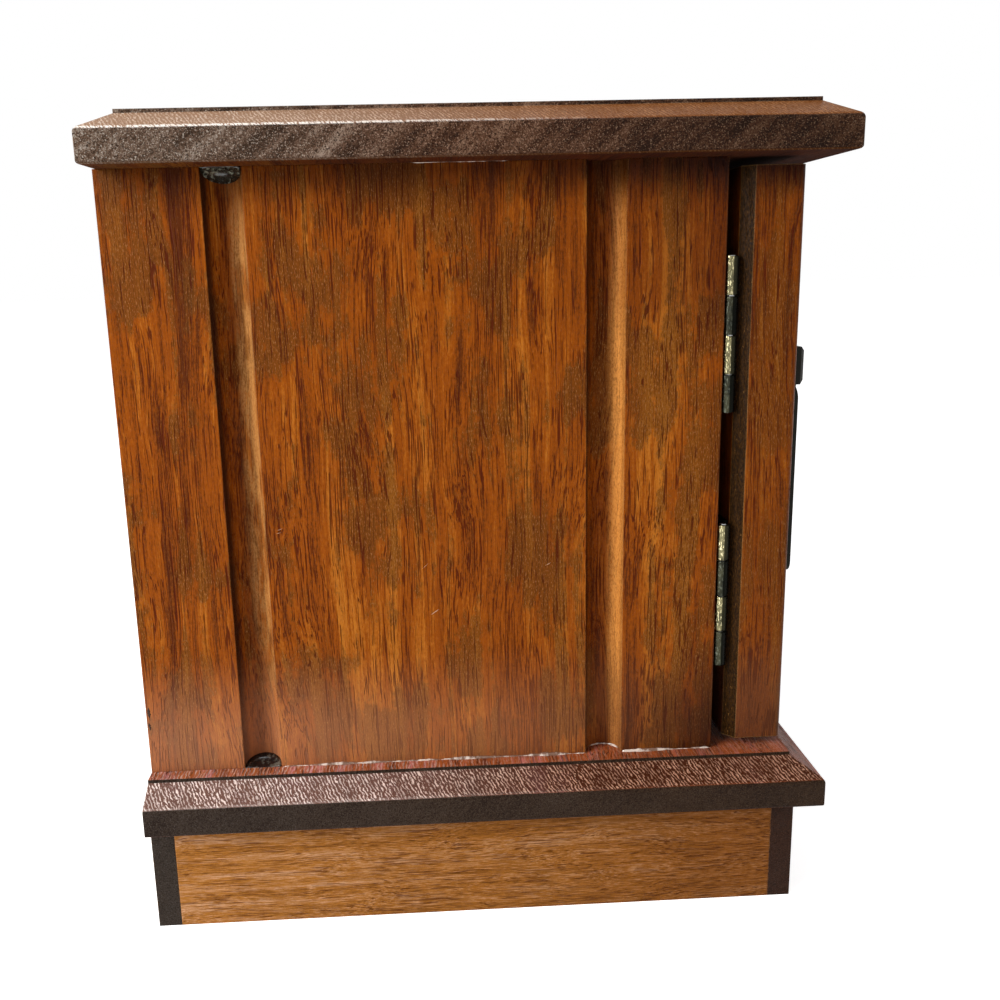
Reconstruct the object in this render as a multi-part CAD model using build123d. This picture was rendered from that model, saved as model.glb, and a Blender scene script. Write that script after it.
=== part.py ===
from build123d import *
import math
import os

# Musical jewelry box: a wooden chest with two narrow necklace doors, three drawers between
# them and a wind-up musical movement behind the lowest drawer.
# Millimetres. The front faces -Y, the left side is at -X, +Z is up, and the origin is on the
# floor under the middle of the whole box.

# Carcass
carcass_width = 250.0
carcass_depth = 146.4
carcass_height = 149.8
side_wall = 12.0
partition = 8.0
partition_from_side = 56.0
divider = 5.0
back_panel = 4.0
back_rebate = 6.0

# Flutes in the side walls
flute_radius = 4.75
flute_from_back = 28.75
flute_spacing = 89.05

# Top and base boards share one moulded section
board_edge = 7.5
bevel_rise = 3.8
bevel_run = 7.0
quirk = 0.9
arris_round = 1.6
lower_round = 0.8
side_overhang = 11.0
front_overhang = 26.8

# Plinth
plinth_height = 28.5
plinth_board = 5.9
plinth_side_setback = 4.9
plinth_front_setback = 6.1

# Doors
door_thickness = 14.8
hinge_gap = 3.8
door_top_gap = 2.0
door_bottom_gap = 2.4
door_drawer_gap = 1.0
stile_width = 14.0
rail_height = 17.0
panel_set_back = 4.0
panel_tongue = 4.0
panel_tongue_depth = 4.0
panel_clearance = 0.3
panel_bevel_run = 6.0
panel_bevel_rise = 3.0
door_chamfer = 2.7
door_round = 1.5

# Hinges
hinge_length = 38.0
knuckle_count = 4
knuckle_radius = 1.8
leaf_thickness = 0.9
leaf_width = 9.5
hinge_axis_inset = 1.75
hinge_from_door_end = 20.5
hinge_pin_radius = 0.9
hinge_running_clearance = 0.05
knuckle_clearance = 0.3

# Sides of the small round pieces that repeat
knob_sides = 24
knuckle_sides = 16
pin_sides = 8
wire_sides = 6
roll_sides = 12

# Door pulls
pull_from_door_bottom = 93.2
pull_post_radius = 2.8
rosette_radius = 5.5
rosette_thickness = 1.6
rosette_taper = 30
pull_head_front = 19.6
pull_head_height = 11.0
pull_head_width = 8.0
pull_head_depth = 5.4
pull_head_chamfer = 1.2
pull_slot_clearance = 0.3
pull_tongue_width = 2.6
pull_tongue_radius = 2.0
pull_pin_radius = 0.8
drop_length = 63.0
drop_shoulder = 6.6
drop_width = 7.0
drop_thickness = 2.2
drop_front = 18.3
drop_running_clearance = 0.05

# Door catches
catch_width = 9.0
catch_height = 12.0
catch_depth = 14.0
catch_gap = 0.3
strike_radius = 3.6
strike_thickness = 0.8

# Drawers
drawer_count = 3
drawer_front_thickness = 14.8
drawer_front_gap = 1.2
drawer_stand_off = 0.4
drawer_side_clearance = 0.6
drawer_seat = 0.3
drawer_head_room = 2.5
drawer_board = 6.0
drawer_bottom = 3.0
drawer_bottom_lift = 2.0
drawer_groove = 3.0
drawer_groove_clearance = 0.1
drawer_back_space = 3.0
liner_clearance = 0.4
liner_seat = 0.3
liner_thickness = 2.4
ring_roll_radius = 5.2
ring_roll_height = 8.4
ring_roll_base = 3.0
ring_roll_gap = 1.4
knob_radius = 6.0
knob_length = 14.0
knob_neck_radius = 2.6
knob_foot_radius = 5.0
knob_foot_thickness = 1.6
knob_head_thickness = 6.0
knob_flare = 2.4
knob_bevel = 1.4

# Necklace hooks
hook_wire_radius = 1.0
hook_drop = 9.0
hook_bend_radius = 4.0
hook_bend_parts = 4
hook_tip = 2.0
hooks_per_bay = 3
hook_spacing = 34.0

# Musical movement
bay_space_behind_comb = 2.5
bedplate_thickness = 3.0
bedplate_margin = 2.0
housing_radius = 12.6
housing_height = 8.0
housing_flange = 1.0
crown_teeth = 32
crown_pitch_radius = 12.0
crown_disc = 1.2
crown_face = 2.0
crown_rim = 0.4
crown_tooth_width = 0.75
crown_clearance = 0.3
crown_bore_clearance = 0.02
pinion_teeth = 8
tooth_tip = 0.6
tooth_root = 0.9
tooth_tip_width = 0.8
tooth_root_width = 1.5
cylinder_radius = 6.5
cylinder_length = 24.0
cylinder_end_gap = 0.6
tune_pin_height = 0.6
tune_pin_width = 0.5
pins_per_track = 2
bearing_ear = 1.5
ear_width = 6.0
arbor_radius = 1.0
arbor_running_clearance = 0.05
wheel_teeth = 32
wheel_pitch_radius = 8.0
wheel_face = 1.5
wheel_gap = 0.3
wheel_bore_clearance = 0.02
governor_teeth = 8
arbor_from_middle = 16.0
comb_teeth = 18
comb_thickness = 1.0
comb_tooth_length = 15.0
comb_land = 8.0
comb_slot = 0.35
comb_treble_share = 0.45
comb_tip_gap = 0.25
governor_length = 13.0
governor_width = 11.0
governor_height = 17.0
governor_chamfer = 0.8
governor_gap = 0.8
governor_arbor_depth = 6.0
key_arbor_radius = 1.6
key_arbor_clearance = 0.05
key_hole_radius = 5.0
key_wing_span = 18.0
key_wing_height = 11.0
key_wing_thickness = 2.4
key_hub_radius = 2.8
key_floor_clearance = 5.0
key_below_base = 3.0
stop_post_radius = 1.5
stop_post_height = 2.0
stop_pivot_behind_drawer = 3.4
stop_lever_thickness = 1.0
stop_lever_width = 3.0
stop_boss_radius = 2.8
stop_lever_lift = 0.2
stop_arm = 14.0
stop_pad_height = 12.0
stop_pad_thickness = 1.6
stop_pad_gap = 0.3
stop_running_clearance = 0.05
bedplate_corner = 2.0

# Levels and reference planes
board_thickness = board_edge + bevel_rise + quirk
board_depth = carcass_depth + front_overhang
board_width = carcass_width + 2 * side_overhang
base_top = plinth_height + board_thickness
carcass_top = base_top + carcass_height
door_back = carcass_depth + hinge_gap
door_front = door_back + door_thickness
overall_depth = door_front + pull_head_front
back_y = overall_depth / 2
half_width = carcass_width / 2
carcass_front_y = back_y - carcass_depth
door_back_y = back_y - door_back
door_front_y = back_y - door_front
bay_back_y = back_y - back_panel
half_drawer_bay = half_width - partition_from_side - partition / 2
bay_height = (carcass_height - (drawer_count - 1) * divider) / drawer_count
door_width = partition_from_side - door_drawer_gap / 2
door_bottom = base_top + door_bottom_gap
door_height = carcass_height - door_top_gap - door_bottom_gap
sides = {"left": -1, "right": 1}

# Movement levels, from the base board up
bed_top = base_top + bedplate_thickness
housing_top = bed_top + housing_height
crown_module = 2 * crown_pitch_radius / crown_teeth
pinion_pitch_radius = crown_module * pinion_teeth / 2
crown_disc_bottom = housing_top + crown_clearance
crown_pitch_z = crown_disc_bottom + crown_disc + crown_module * tooth_root
axis_z = crown_pitch_z + pinion_pitch_radius
wheel_module = 2 * wheel_pitch_radius / wheel_teeth
governor_pitch_radius = wheel_module * governor_teeth / 2

# Movement places along the cylinder, measured from the arbor of the key
comb_reach = cylinder_radius + tune_pin_height + comb_tip_gap + comb_tooth_length + comb_land
axis_y = bay_back_y - bay_space_behind_comb - comb_reach
arbor_x = -arbor_from_middle
inner_ear_x = arbor_x + crown_pitch_radius + crown_face / 2 + crown_rim + cylinder_end_gap
cylinder_x = inner_ear_x + bearing_ear + cylinder_end_gap
wheel_x = cylinder_x + cylinder_length + wheel_gap
outer_ear_x = wheel_x + wheel_face + cylinder_end_gap
governor_y = axis_y - wheel_pitch_radius - governor_pitch_radius
governor_x1 = wheel_x - governor_gap
governor_x0 = governor_x1 - governor_length
governor_back_y = axis_y - cylinder_radius - tune_pin_height - governor_gap
governor_front_y = governor_back_y - governor_width
stop_pivot_x = governor_x0 - governor_gap - stop_lever_width * 1.5
stop_pivot_y = governor_front_y
bed_front_y = stop_pivot_y - stop_pivot_behind_drawer
bed_back_y = axis_y + comb_reach
bed_x0 = arbor_x - housing_radius - bedplate_margin
bed_x1 = outer_ear_x + bearing_ear + bedplate_margin
lower_drawer_back_y = bed_front_y - stop_pad_gap


def block(x0, x1, y0, y1, z0, z1):
    """A rectangular board between two corners, given in any order."""
    size = (abs(x1 - x0), abs(y1 - y0), abs(z1 - z0))
    corner = Pos(min(x0, x1), min(y0, y1), min(z0, z1))
    return corner * Box(*size, align=(Align.MIN, Align.MIN, Align.MIN))


def rod(radius, start, end):
    """A round bar from one point to another."""
    way = Vector(*end) - Vector(*start)
    return extrude(Plane(origin=start, z_dir=way) * Circle(radius), way.length)


def bar(radius, sides, start, end, over_corners=True):
    """Many-sided bar between two points; the radius reaches its corners, or its flats."""
    axis = Vector(*end) - Vector(*start)
    section = RegularPolygon(radius, sides, major_radius=over_corners)
    return extrude(Plane(origin=start, z_dir=axis) * section, axis.length)


def turned_in_flats(place, outline, sides):
    """Solid turned about a line towards -Y; the outline gives its radius at each distance."""
    rings = []
    for reach, radius in outline:
        turns = [math.tau * k / sides for k in range(sides)]
        rings.append([place + Vector(radius * math.cos(turn), -reach, radius * math.sin(turn))
                      for turn in turns])
    faces = [make_face(Polyline(*rings[0], close=True)), make_face(Polyline(*rings[-1], close=True))]
    for ring, after in zip(rings, rings[1:]):
        for k in range(sides):
            n = (k + 1) % sides
            faces.append(make_face(Polyline(ring[k], ring[n], after[n], after[k], close=True)))
    return Solid(Shell(faces))


def rectangle_at(x0, x1, y0, y1, z):
    return Pos((x0 + x1) / 2, (y0 + y1) / 2, z) * Rectangle(x1 - x0, y1 - y0)


def level_edges(shape, z):
    return [edge for edge in shape.edges() if abs(edge.bounding_box().min.Z - z) < 0.01
            and abs(edge.bounding_box().max.Z - z) < 0.01]


def upright_edges(shape, x, y):
    return [edge for edge in shape.edges().filter_by(Axis.Z)
            if abs(edge.center().X - x) < 0.01 and abs(edge.center().Y - y) < 0.01]


def moulded_board(bottom, bevelled_back):
    """Board with a square edge, a sloping bevel above it and a raised field inside a quirk."""
    x1 = board_width / 2
    y0 = back_y - board_depth
    edge_top = bottom + board_edge
    bevel_top = edge_top + bevel_rise
    field_back = back_y - bevel_run if bevelled_back else back_y
    inner = (-x1 + bevel_run, x1 - bevel_run, y0 + bevel_run, field_back)
    slab = block(-x1, x1, y0, back_y, bottom, edge_top)
    bevel = loft([rectangle_at(-x1, x1, y0, back_y, edge_top), rectangle_at(*inner, bevel_top)],
                 ruled=True)
    field = block(*inner, bevel_top, bevel_top + quirk)
    board = slab + bevel + field
    for level, radius in ((edge_top, arris_round), (bottom, lower_round)):
        rounded = [edge for edge in level_edges(board, level)
                   if bevelled_back or abs(edge.center().Y - back_y) > 0.01]
        board = fillet(rounded, radius)
    return board


def base_board():
    """The base, with a hole for the key's arbor."""
    hole = rod(key_hole_radius, (arbor_x, axis_y, plinth_height), (arbor_x, axis_y, base_top))
    return moulded_board(plinth_height, False) - hole


def plinth_boards():
    """Front and back boards run right across; the side boards stand between them."""
    x1 = board_width / 2 - plinth_side_setback
    y0 = back_y - board_depth + plinth_front_setback
    parts = {
        "plinth_front": block(-x1, x1, y0, y0 + plinth_board, 0, plinth_height),
        "plinth_back": block(-x1, x1, back_y - plinth_board, back_y, 0, plinth_height),
    }
    for side, sign in sides.items():
        parts[f"plinth_side_{side}"] = block(sign * x1, sign * (x1 - plinth_board),
                                             y0 + plinth_board, back_y - plinth_board,
                                             0, plinth_height)
    return parts


def side_wall_board(sign):
    """A side wall with two round-bottomed flutes outside and a rebate for the back inside."""
    outer = sign * half_width
    inner = sign * (half_width - side_wall)
    wall = block(outer, inner, carcass_front_y, back_y, base_top, carcass_top)
    for flute in range(2):
        y = back_y - flute_from_back - flute * flute_spacing
        wall -= rod(flute_radius, (outer, y, base_top), (outer, y, carcass_top))
    rebate_x = inner + sign * back_rebate
    return wall - block(inner, rebate_x, bay_back_y, back_y, base_top, carcass_top)


def back_board():
    x1 = half_width - side_wall + back_rebate
    return block(-x1, x1, bay_back_y, back_y, base_top, carcass_top)


def partition_board(sign):
    x = sign * half_drawer_bay
    return block(x, x + sign * partition, carcass_front_y, bay_back_y, base_top, carcass_top)


def drawer_floor(level):
    """Height of the board that a drawer runs on, counted from the lowest drawer."""
    return base_top + level * (bay_height + divider)


def divider_board(level):
    z = drawer_floor(level)
    return block(-half_drawer_bay, half_drawer_bay, carcass_front_y, bay_back_y, z - divider, z)


def door_x(sign, inset):
    """Place across the box, measured inwards from the outer edge of a door."""
    return sign * (half_width - inset)


def panel_place(sign, reach, front, back, run=0.0):
    """Corners of a door panel's layer: reach past the opening, then front and back faces."""
    x0 = door_x(sign, stile_width - reach + run)
    x1 = door_x(sign, door_width - stile_width + reach - run)
    z0 = door_bottom + rail_height - reach + run
    z1 = door_bottom + door_height - rail_height + reach - run
    return x0, x1, door_back_y - front, door_back_y - back, z0, z1


def panel_groove(sign):
    """Slot round the inside of the door frame that holds the panel's tongue."""
    front = panel_set_back + panel_tongue + panel_clearance
    back = panel_set_back - panel_clearance
    return block(*panel_place(sign, panel_tongue_depth + panel_clearance, front, back))


def door_stiles(sign):
    """Upright door members; the outer one is chamfered behind and both are rounded in front."""
    z0, z1 = door_bottom, door_bottom + door_height
    near, far = door_x(sign, 0), door_x(sign, door_width)
    near_inner = door_x(sign, stile_width)
    far_inner = door_x(sign, door_width - stile_width)
    outer = block(near, near_inner, door_front_y, door_back_y, z0, z1) - panel_groove(sign)
    outer = chamfer(upright_edges(outer, near, door_back_y), door_chamfer)
    outer = fillet(upright_edges(outer, near, door_front_y), door_round)
    inner = block(far, far_inner, door_front_y, door_back_y, z0, z1) - panel_groove(sign)
    inner = fillet(upright_edges(inner, far, door_front_y), door_round)
    return Compound([outer, inner])


def door_rails(sign):
    """Level door members between the stiles."""
    x0 = door_x(sign, stile_width)
    x1 = door_x(sign, door_width - stile_width)
    rails = []
    for z in (door_bottom, door_bottom + door_height - rail_height):
        rail = block(x0, x1, door_front_y, door_back_y, z, z + rail_height)
        rails.append(rail - panel_groove(sign))
    return Compound(rails)


def door_panel(sign):
    """Fielded panel: a thin tongue all round and a bevelled field raised in front of it."""
    front = panel_set_back + panel_tongue
    x0, x1, y1, y0, z0, z1 = panel_place(sign, panel_tongue_depth, front, panel_set_back)
    panel = block(x0, x1, y1, y0, z0, z1)
    layers = []
    for depth, run in ((front, 0.0), (front + panel_bevel_rise, panel_bevel_run)):
        a0, a1, y, _, c0, c1 = panel_place(sign, -panel_clearance, depth, 0.0, run)
        plane = Plane(origin=((a0 + a1) / 2, y, (c0 + c1) / 2), x_dir=(1, 0, 0), z_dir=(0, -1, 0))
        layers.append(plane * Rectangle(abs(a1 - a0), abs(c1 - c0)))
    return panel + loft(layers, ruled=True)


def hinge_places():
    """Lower end of each hinge on a door."""
    low = door_bottom + hinge_from_door_end
    high = door_bottom + door_height - hinge_from_door_end - hinge_length
    return low, high


def hinge_axis(sign):
    return door_x(sign, hinge_axis_inset), back_y - carcass_depth - hinge_gap / 2


def hinge_leaf(sign, z0, on_door):
    """Thin plate with two of the four knuckles, bored for the pin."""
    x, y = hinge_axis(sign)
    face = door_back_y if on_door else carcass_front_y
    inward = 1 if on_door else -1
    plate_x = x - sign * (knuckle_radius + knuckle_clearance)
    end_x = x - sign * leaf_width
    leaf = block(plate_x, end_x, face, face + inward * leaf_thickness, z0, z0 + hinge_length)
    step = hinge_length / knuckle_count
    first = 0 if on_door else 1
    for knuckle in range(first, knuckle_count, 2):
        low = z0 + knuckle * step + knuckle_clearance / 2
        high = z0 + (knuckle + 1) * step - knuckle_clearance / 2
        leaf += bar(knuckle_radius, knuckle_sides, (x, y, low), (x, y, high))
        leaf += block(x, end_x, face, face + inward * leaf_thickness, low, high)
    bore = hinge_pin_radius + hinge_running_clearance
    return leaf - bar(bore, pin_sides, (x, y, z0), (x, y, z0 + hinge_length), False)


def hinge_leaves(sign, on_door):
    return Compound([hinge_leaf(sign, z, on_door) for z in hinge_places()])


def hinge_pins():
    pins = []
    for sign in sides.values():
        x, y = hinge_axis(sign)
        for z in hinge_places():
            pins.append(bar(hinge_pin_radius, pin_sides, (x, y, z), (x, y, z + hinge_length)))
    return Compound(pins)


def pull_place(sign):
    """Middle of a door pull: across, and the height of its cross pin."""
    return door_x(sign, door_width - stile_width / 2), door_bottom + pull_from_door_bottom


def pull_axis_y():
    return door_front_y - drop_front + drop_thickness / 2


def pull_post(sign):
    """Rosette, post and forked head with the cross pin that carries the hanging drop."""
    x, z = pull_place(sign)
    head_back_y = door_front_y - pull_head_front + pull_head_depth
    face = Plane(origin=(x, door_front_y, z), z_dir=(0, -1, 0))
    rosette = extrude(face * RegularPolygon(rosette_radius, knob_sides), rosette_thickness,
                      taper=rosette_taper)
    post = rod(pull_post_radius, (x, door_front_y, z), (x, head_back_y, z))
    head = block(x - pull_head_width / 2, x + pull_head_width / 2,
                 head_back_y, head_back_y - pull_head_depth,
                 z - pull_head_height / 2, z + pull_head_height / 2)
    head = chamfer(head.edges().group_by(Axis.Y)[0], pull_head_chamfer)
    slot = pull_tongue_width / 2 + pull_slot_clearance
    slot_top = z + pull_tongue_radius + pull_slot_clearance * 2
    head -= block(x - slot, x + slot, head_back_y, head_back_y - pull_head_depth,
                  z - pull_head_height / 2, slot_top)
    pin_y = pull_axis_y()
    half = pull_head_width / 2 - pull_head_chamfer
    pin = bar(pull_pin_radius, pin_sides, (x - half, pin_y, z), (x + half, pin_y, z))
    return rosette + post + head + pin


def pull_drop(sign):
    """Long flat drop that hangs from the pin and swings away from the door."""
    x, z = pull_place(sign)
    y = pull_axis_y()
    bottom = z - drop_length
    shoulder = z - drop_shoulder
    half = drop_width / 2
    waist = pull_tongue_width / 2
    outline = make_face(
        Line((-half, bottom + half), (-half, shoulder - half))
        + ThreePointArc((-half, shoulder - half), (-half * 0.75, shoulder - half * 0.3),
                        (-waist, shoulder))
        + Line((-waist, shoulder), (waist, shoulder))
        + ThreePointArc((waist, shoulder), (half * 0.75, shoulder - half * 0.3),
                        (half, shoulder - half))
        + Line((half, shoulder - half), (half, bottom + half))
        + ThreePointArc((half, bottom + half), (0, bottom), (-half, bottom + half)))
    plane = Plane(origin=(x, y + drop_thickness / 2, 0), x_dir=(1, 0, 0), z_dir=(0, -1, 0))
    plate = extrude(plane * outline, drop_thickness)
    tongue = block(x - waist, x + waist, y - drop_thickness / 2, y + drop_thickness / 2,
                   shoulder - half, z)
    eye = bar(pull_tongue_radius, knuckle_sides, (x - waist, y, z), (x + waist, y, z))
    bore = pull_pin_radius + drop_running_clearance
    return plate + tongue + eye - bar(bore, pin_sides, (x - half, y, z), (x + half, y, z), False)


def catch_place(sign):
    """Door catch on the inner side of a partition, level with the pull."""
    x = door_x(sign, partition_from_side - partition / 2 - catch_width / 2)
    return x, door_bottom + pull_from_door_bottom


def door_catches():
    """Magnet blocks that stop just short of the strikes on the closed doors."""
    blocks = []
    for sign in sides.values():
        x, z = catch_place(sign)
        front = door_back_y + strike_thickness + catch_gap
        blocks.append(block(x - catch_width / 2, x + catch_width / 2, front, front + catch_depth,
                            z - catch_height / 2, z + catch_height / 2))
    return Compound(blocks)


def door_strike(sign):
    x, z = catch_place(sign)
    return rod(strike_radius, (x, door_back_y, z), (x, door_back_y + strike_thickness, z))


def drawer_height():
    return bay_height - drawer_seat - drawer_head_room


def drawer_back_y(level):
    """Outer face of a drawer's back: the lowest drawer is shorter, to clear the movement."""
    return lower_drawer_back_y if level == 0 else bay_back_y - drawer_back_space


def drawer_front(level):
    """Front board in line with the doors' height, rounded at its arrises."""
    half = half_width - door_width - door_drawer_gap
    height = (door_height - (drawer_count - 1) * drawer_front_gap) / drawer_count
    z = door_bottom + level * (height + drawer_front_gap)
    back = carcass_front_y - drawer_stand_off
    front = block(-half, half, back - drawer_front_thickness, back, z, z + height)
    front = fillet(front.edges().group_by(Axis.Y)[0], door_round)
    return front - drawer_groove_space(level)


def drawer_groove_space(level):
    """Groove that takes the drawer's bottom in its sides and front."""
    half = half_drawer_bay - drawer_side_clearance - drawer_board + drawer_groove
    z = drawer_floor(level) + drawer_seat + drawer_bottom_lift
    front = carcass_front_y - drawer_stand_off - drawer_groove
    return block(-half, half, front, drawer_back_y(level),
                 z - drawer_groove_clearance, z + drawer_bottom + drawer_groove_clearance)


def drawer_box(level):
    """Two sides and a back; the bottom slides in under the back."""
    half = half_drawer_bay - drawer_side_clearance
    z0 = drawer_floor(level) + drawer_seat
    z1 = z0 + drawer_height()
    front = carcass_front_y - drawer_stand_off
    back = drawer_back_y(level)
    groove = drawer_groove_space(level)
    boards = []
    for sign in sides.values():
        side = block(sign * half, sign * (half - drawer_board), front, back, z0, z1)
        boards.append(side - groove)
    above = z0 + drawer_bottom_lift + drawer_bottom + drawer_groove_clearance
    inner = half - drawer_board
    boards.append(block(-inner, inner, back - drawer_board, back, above, z1))
    return Compound(boards)


def drawer_bottom_board(level):
    half = half_drawer_bay - drawer_side_clearance - drawer_board + drawer_groove
    half -= drawer_groove_clearance
    z = drawer_floor(level) + drawer_seat + drawer_bottom_lift
    front = carcass_front_y - drawer_stand_off - drawer_groove + drawer_groove_clearance
    return block(-half, half, front, drawer_back_y(level), z, z + drawer_bottom)


def liner_space(level):
    """Floor of a drawer inside its boards, less the clearance that velvet needs."""
    half = half_drawer_bay - drawer_side_clearance - drawer_board - liner_clearance
    front = carcass_front_y - drawer_stand_off + liner_clearance
    back = drawer_back_y(level) - drawer_board - liner_clearance
    floor = drawer_floor(level) + drawer_seat + drawer_bottom_lift + drawer_bottom
    return half, front, back, floor + liner_seat


def drawer_liner(level):
    """Flat velvet pad with rounded upper edges."""
    half, front, back, z = liner_space(level)
    pad = block(-half, half, front, back, z, z + liner_thickness)
    return fillet(level_edges(pad, z + liner_thickness), liner_thickness / 2)


def ring_roll_liner(level):
    """Velvet ring rolls side by side across the drawer, on a thin pad."""
    half, front, back, z = liner_space(level)
    pitch = 2 * ring_roll_radius + ring_roll_gap
    count = math.floor((back - front + ring_roll_gap) / pitch)
    first = (front + back) / 2 - (count - 1) * pitch / 2
    pad = block(-half, half, front, back, z, z + ring_roll_base)
    centre = z + ring_roll_height - ring_roll_radius
    for roll in range(count):
        y = first + roll * pitch
        pad += bar(ring_roll_radius, roll_sides, (-half, y, centre), (half, y, centre))
    return pad - block(-half, half, front, back, z - ring_roll_radius, z)


def drawer_knob(level):
    """Turned knob in flats: foot, narrow neck and a head that is bevelled in front."""
    height = (door_height - (drawer_count - 1) * drawer_front_gap) / drawer_count
    z = door_bottom + level * (height + drawer_front_gap) + height / 2
    y = carcass_front_y - drawer_stand_off - drawer_front_thickness
    neck = knob_length - knob_head_thickness
    outline = ((0, knob_foot_radius), (knob_foot_thickness, knob_foot_radius),
               (2 * knob_foot_thickness, knob_neck_radius), (neck, knob_neck_radius),
               (neck + knob_flare, knob_radius), (knob_length - knob_bevel, knob_radius),
               (knob_length, knob_radius - knob_bevel))
    return turned_in_flats(Vector(0, y, z), outline, knob_sides)


def necklace_hook(x, y):
    """Hook of six-sided wire under the top board: shank, half-round bend and short tip."""
    low = carcass_top - hook_drop
    route = [(x, y, carcass_top)]
    for k in range(hook_bend_parts + 1):
        turn = math.radians(k * 180 / hook_bend_parts)
        route.append((x, y - hook_bend_radius * (1 - math.cos(turn)),
                      low - hook_bend_radius * math.sin(turn)))
    route.append((x, y - 2 * hook_bend_radius, low + hook_tip))
    wire = Plane(origin=route[0], z_dir=(0, 0, -1)) * RegularPolygon(hook_wire_radius, wire_sides)
    return sweep(wire, path=Polyline(*route), transition=Transition.RIGHT)


def necklace_hooks():
    """A row of hooks down the middle of each side bay."""
    hooks = []
    middle_y = (carcass_front_y + bay_back_y) / 2 + hook_bend_radius
    for sign in sides.values():
        x = door_x(sign, (side_wall + partition_from_side - partition / 2) / 2)
        for k in range(hooks_per_bay):
            hooks.append(necklace_hook(x, middle_y + (k - (hooks_per_bay - 1) / 2) * hook_spacing))
    return Compound(hooks)


def toothed_wheel(teeth, pitch_radius, x0, x1, y, z, phase):
    """Spur wheel along X; phase is the angle of one tooth, in degrees from straight up."""
    module = 2 * pitch_radius / teeth
    tip_radius = pitch_radius + tooth_tip * module
    root_radius = pitch_radius - tooth_root * module
    tip_half = math.degrees(tooth_tip_width * module / 2 / tip_radius)
    root_half = math.degrees(tooth_root_width * module / 2 / root_radius)
    points = []
    for tooth in range(teeth):
        middle = phase + tooth * 360 / teeth
        for turn, radius in ((-root_half, root_radius), (-tip_half, tip_radius),
                             (tip_half, tip_radius), (root_half, root_radius)):
            angle = math.radians(middle + turn)
            points.append((radius * math.sin(angle), radius * math.cos(angle)))
    plane = Plane(origin=(x0, y, z), x_dir=(0, 1, 0), z_dir=(1, 0, 0))
    return extrude(plane * make_face(Polyline(*points, close=True)), x1 - x0)


def comb_bottom_z():
    return axis_z - comb_thickness / 2


def movement_bedplate():
    """Cast plate with two bearing ears, the comb's shelf and the stop lever's post."""
    plate = block(bed_x0, bed_x1, bed_front_y, bed_back_y, base_top, bed_top)
    corners = [edge for edge in plate.edges().filter_by(Axis.Z)]
    plate = chamfer(corners, bedplate_corner)
    for x in (inner_ear_x, outer_ear_x):
        ear = block(x, x + bearing_ear, axis_y - ear_width / 2, axis_y + ear_width / 2,
                    bed_top, axis_z)
        plate += ear + rod(ear_width / 2, (x, axis_y, axis_z), (x + bearing_ear, axis_y, axis_z))
    shelf_front = bed_back_y - comb_land
    plate += block(cylinder_x, cylinder_x + cylinder_length, shelf_front, bed_back_y,
                   bed_top, comb_bottom_z())
    plate += rod(stop_post_radius, (stop_pivot_x, stop_pivot_y, bed_top),
                 (stop_pivot_x, stop_pivot_y, bed_top + stop_post_height))
    bearing = arbor_radius + arbor_running_clearance
    plate -= rod(bearing, (inner_ear_x, axis_y, axis_z), (outer_ear_x + bearing_ear, axis_y, axis_z))
    plate -= rod(key_arbor_radius + key_arbor_clearance,
                 (arbor_x, axis_y, base_top), (arbor_x, axis_y, bed_top))
    return plate


def spring_housing():
    """Round drum for the mainspring on a thin flange, bored for the key's arbor."""
    drum = rod(housing_radius, (arbor_x, axis_y, bed_top), (arbor_x, axis_y, housing_top))
    drum += rod(housing_radius + housing_flange, (arbor_x, axis_y, bed_top),
                (arbor_x, axis_y, bed_top + housing_flange))
    return drum - rod(key_arbor_radius + key_arbor_clearance,
                      (arbor_x, axis_y, bed_top), (arbor_x, axis_y, housing_top))


def key_hub_top():
    return plinth_height - key_below_base


def spring_arbor():
    return rod(key_arbor_radius, (arbor_x, axis_y, key_floor_clearance + key_wing_height),
               (arbor_x, axis_y, crown_disc_bottom + crown_disc))


def crown_wheel():
    """Flat wheel on the arbor with teeth that stand up round its rim."""
    disc_radius = crown_pitch_radius + crown_face / 2 + crown_rim
    disc_top = crown_disc_bottom + crown_disc
    tooth_top = crown_pitch_z + crown_module * tooth_tip
    wheel = rod(disc_radius, (arbor_x, axis_y, crown_disc_bottom), (arbor_x, axis_y, disc_top))
    tooth = block(crown_pitch_radius - crown_face / 2, crown_pitch_radius + crown_face / 2,
                  -crown_tooth_width / 2, crown_tooth_width / 2, disc_top, tooth_top)
    rim = []
    for k in range(crown_teeth):
        turn = (k + 0.5) * 360 / crown_teeth
        rim.append(Pos(arbor_x, axis_y, 0) * Rot(0, 0, turn) * tooth)
    wheel = wheel + rim
    return wheel - rod(key_arbor_radius + crown_bore_clearance,
                       (arbor_x, axis_y, crown_disc_bottom), (arbor_x, axis_y, disc_top))


def winding_key():
    """Butterfly key under the base: a hub with two rounded wings, screwed on the arbor."""
    top = key_hub_top()
    wing_top = key_floor_clearance + key_wing_height
    hub = rod(key_hub_radius, (arbor_x, axis_y, key_floor_clearance + key_wing_height / 2),
              (arbor_x, axis_y, top))
    half = key_wing_span / 2
    wing = block(arbor_x - half, arbor_x + half, axis_y - key_wing_thickness / 2,
                 axis_y + key_wing_thickness / 2, key_floor_clearance, wing_top)
    corners = [edge for edge in wing.edges().filter_by(Axis.Y)]
    wing = fillet(corners, key_wing_height * 0.45)
    bore = rod(key_arbor_radius + crown_bore_clearance, (arbor_x, axis_y, wing_top),
               (arbor_x, axis_y, top))
    return hub + wing - bore


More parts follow.
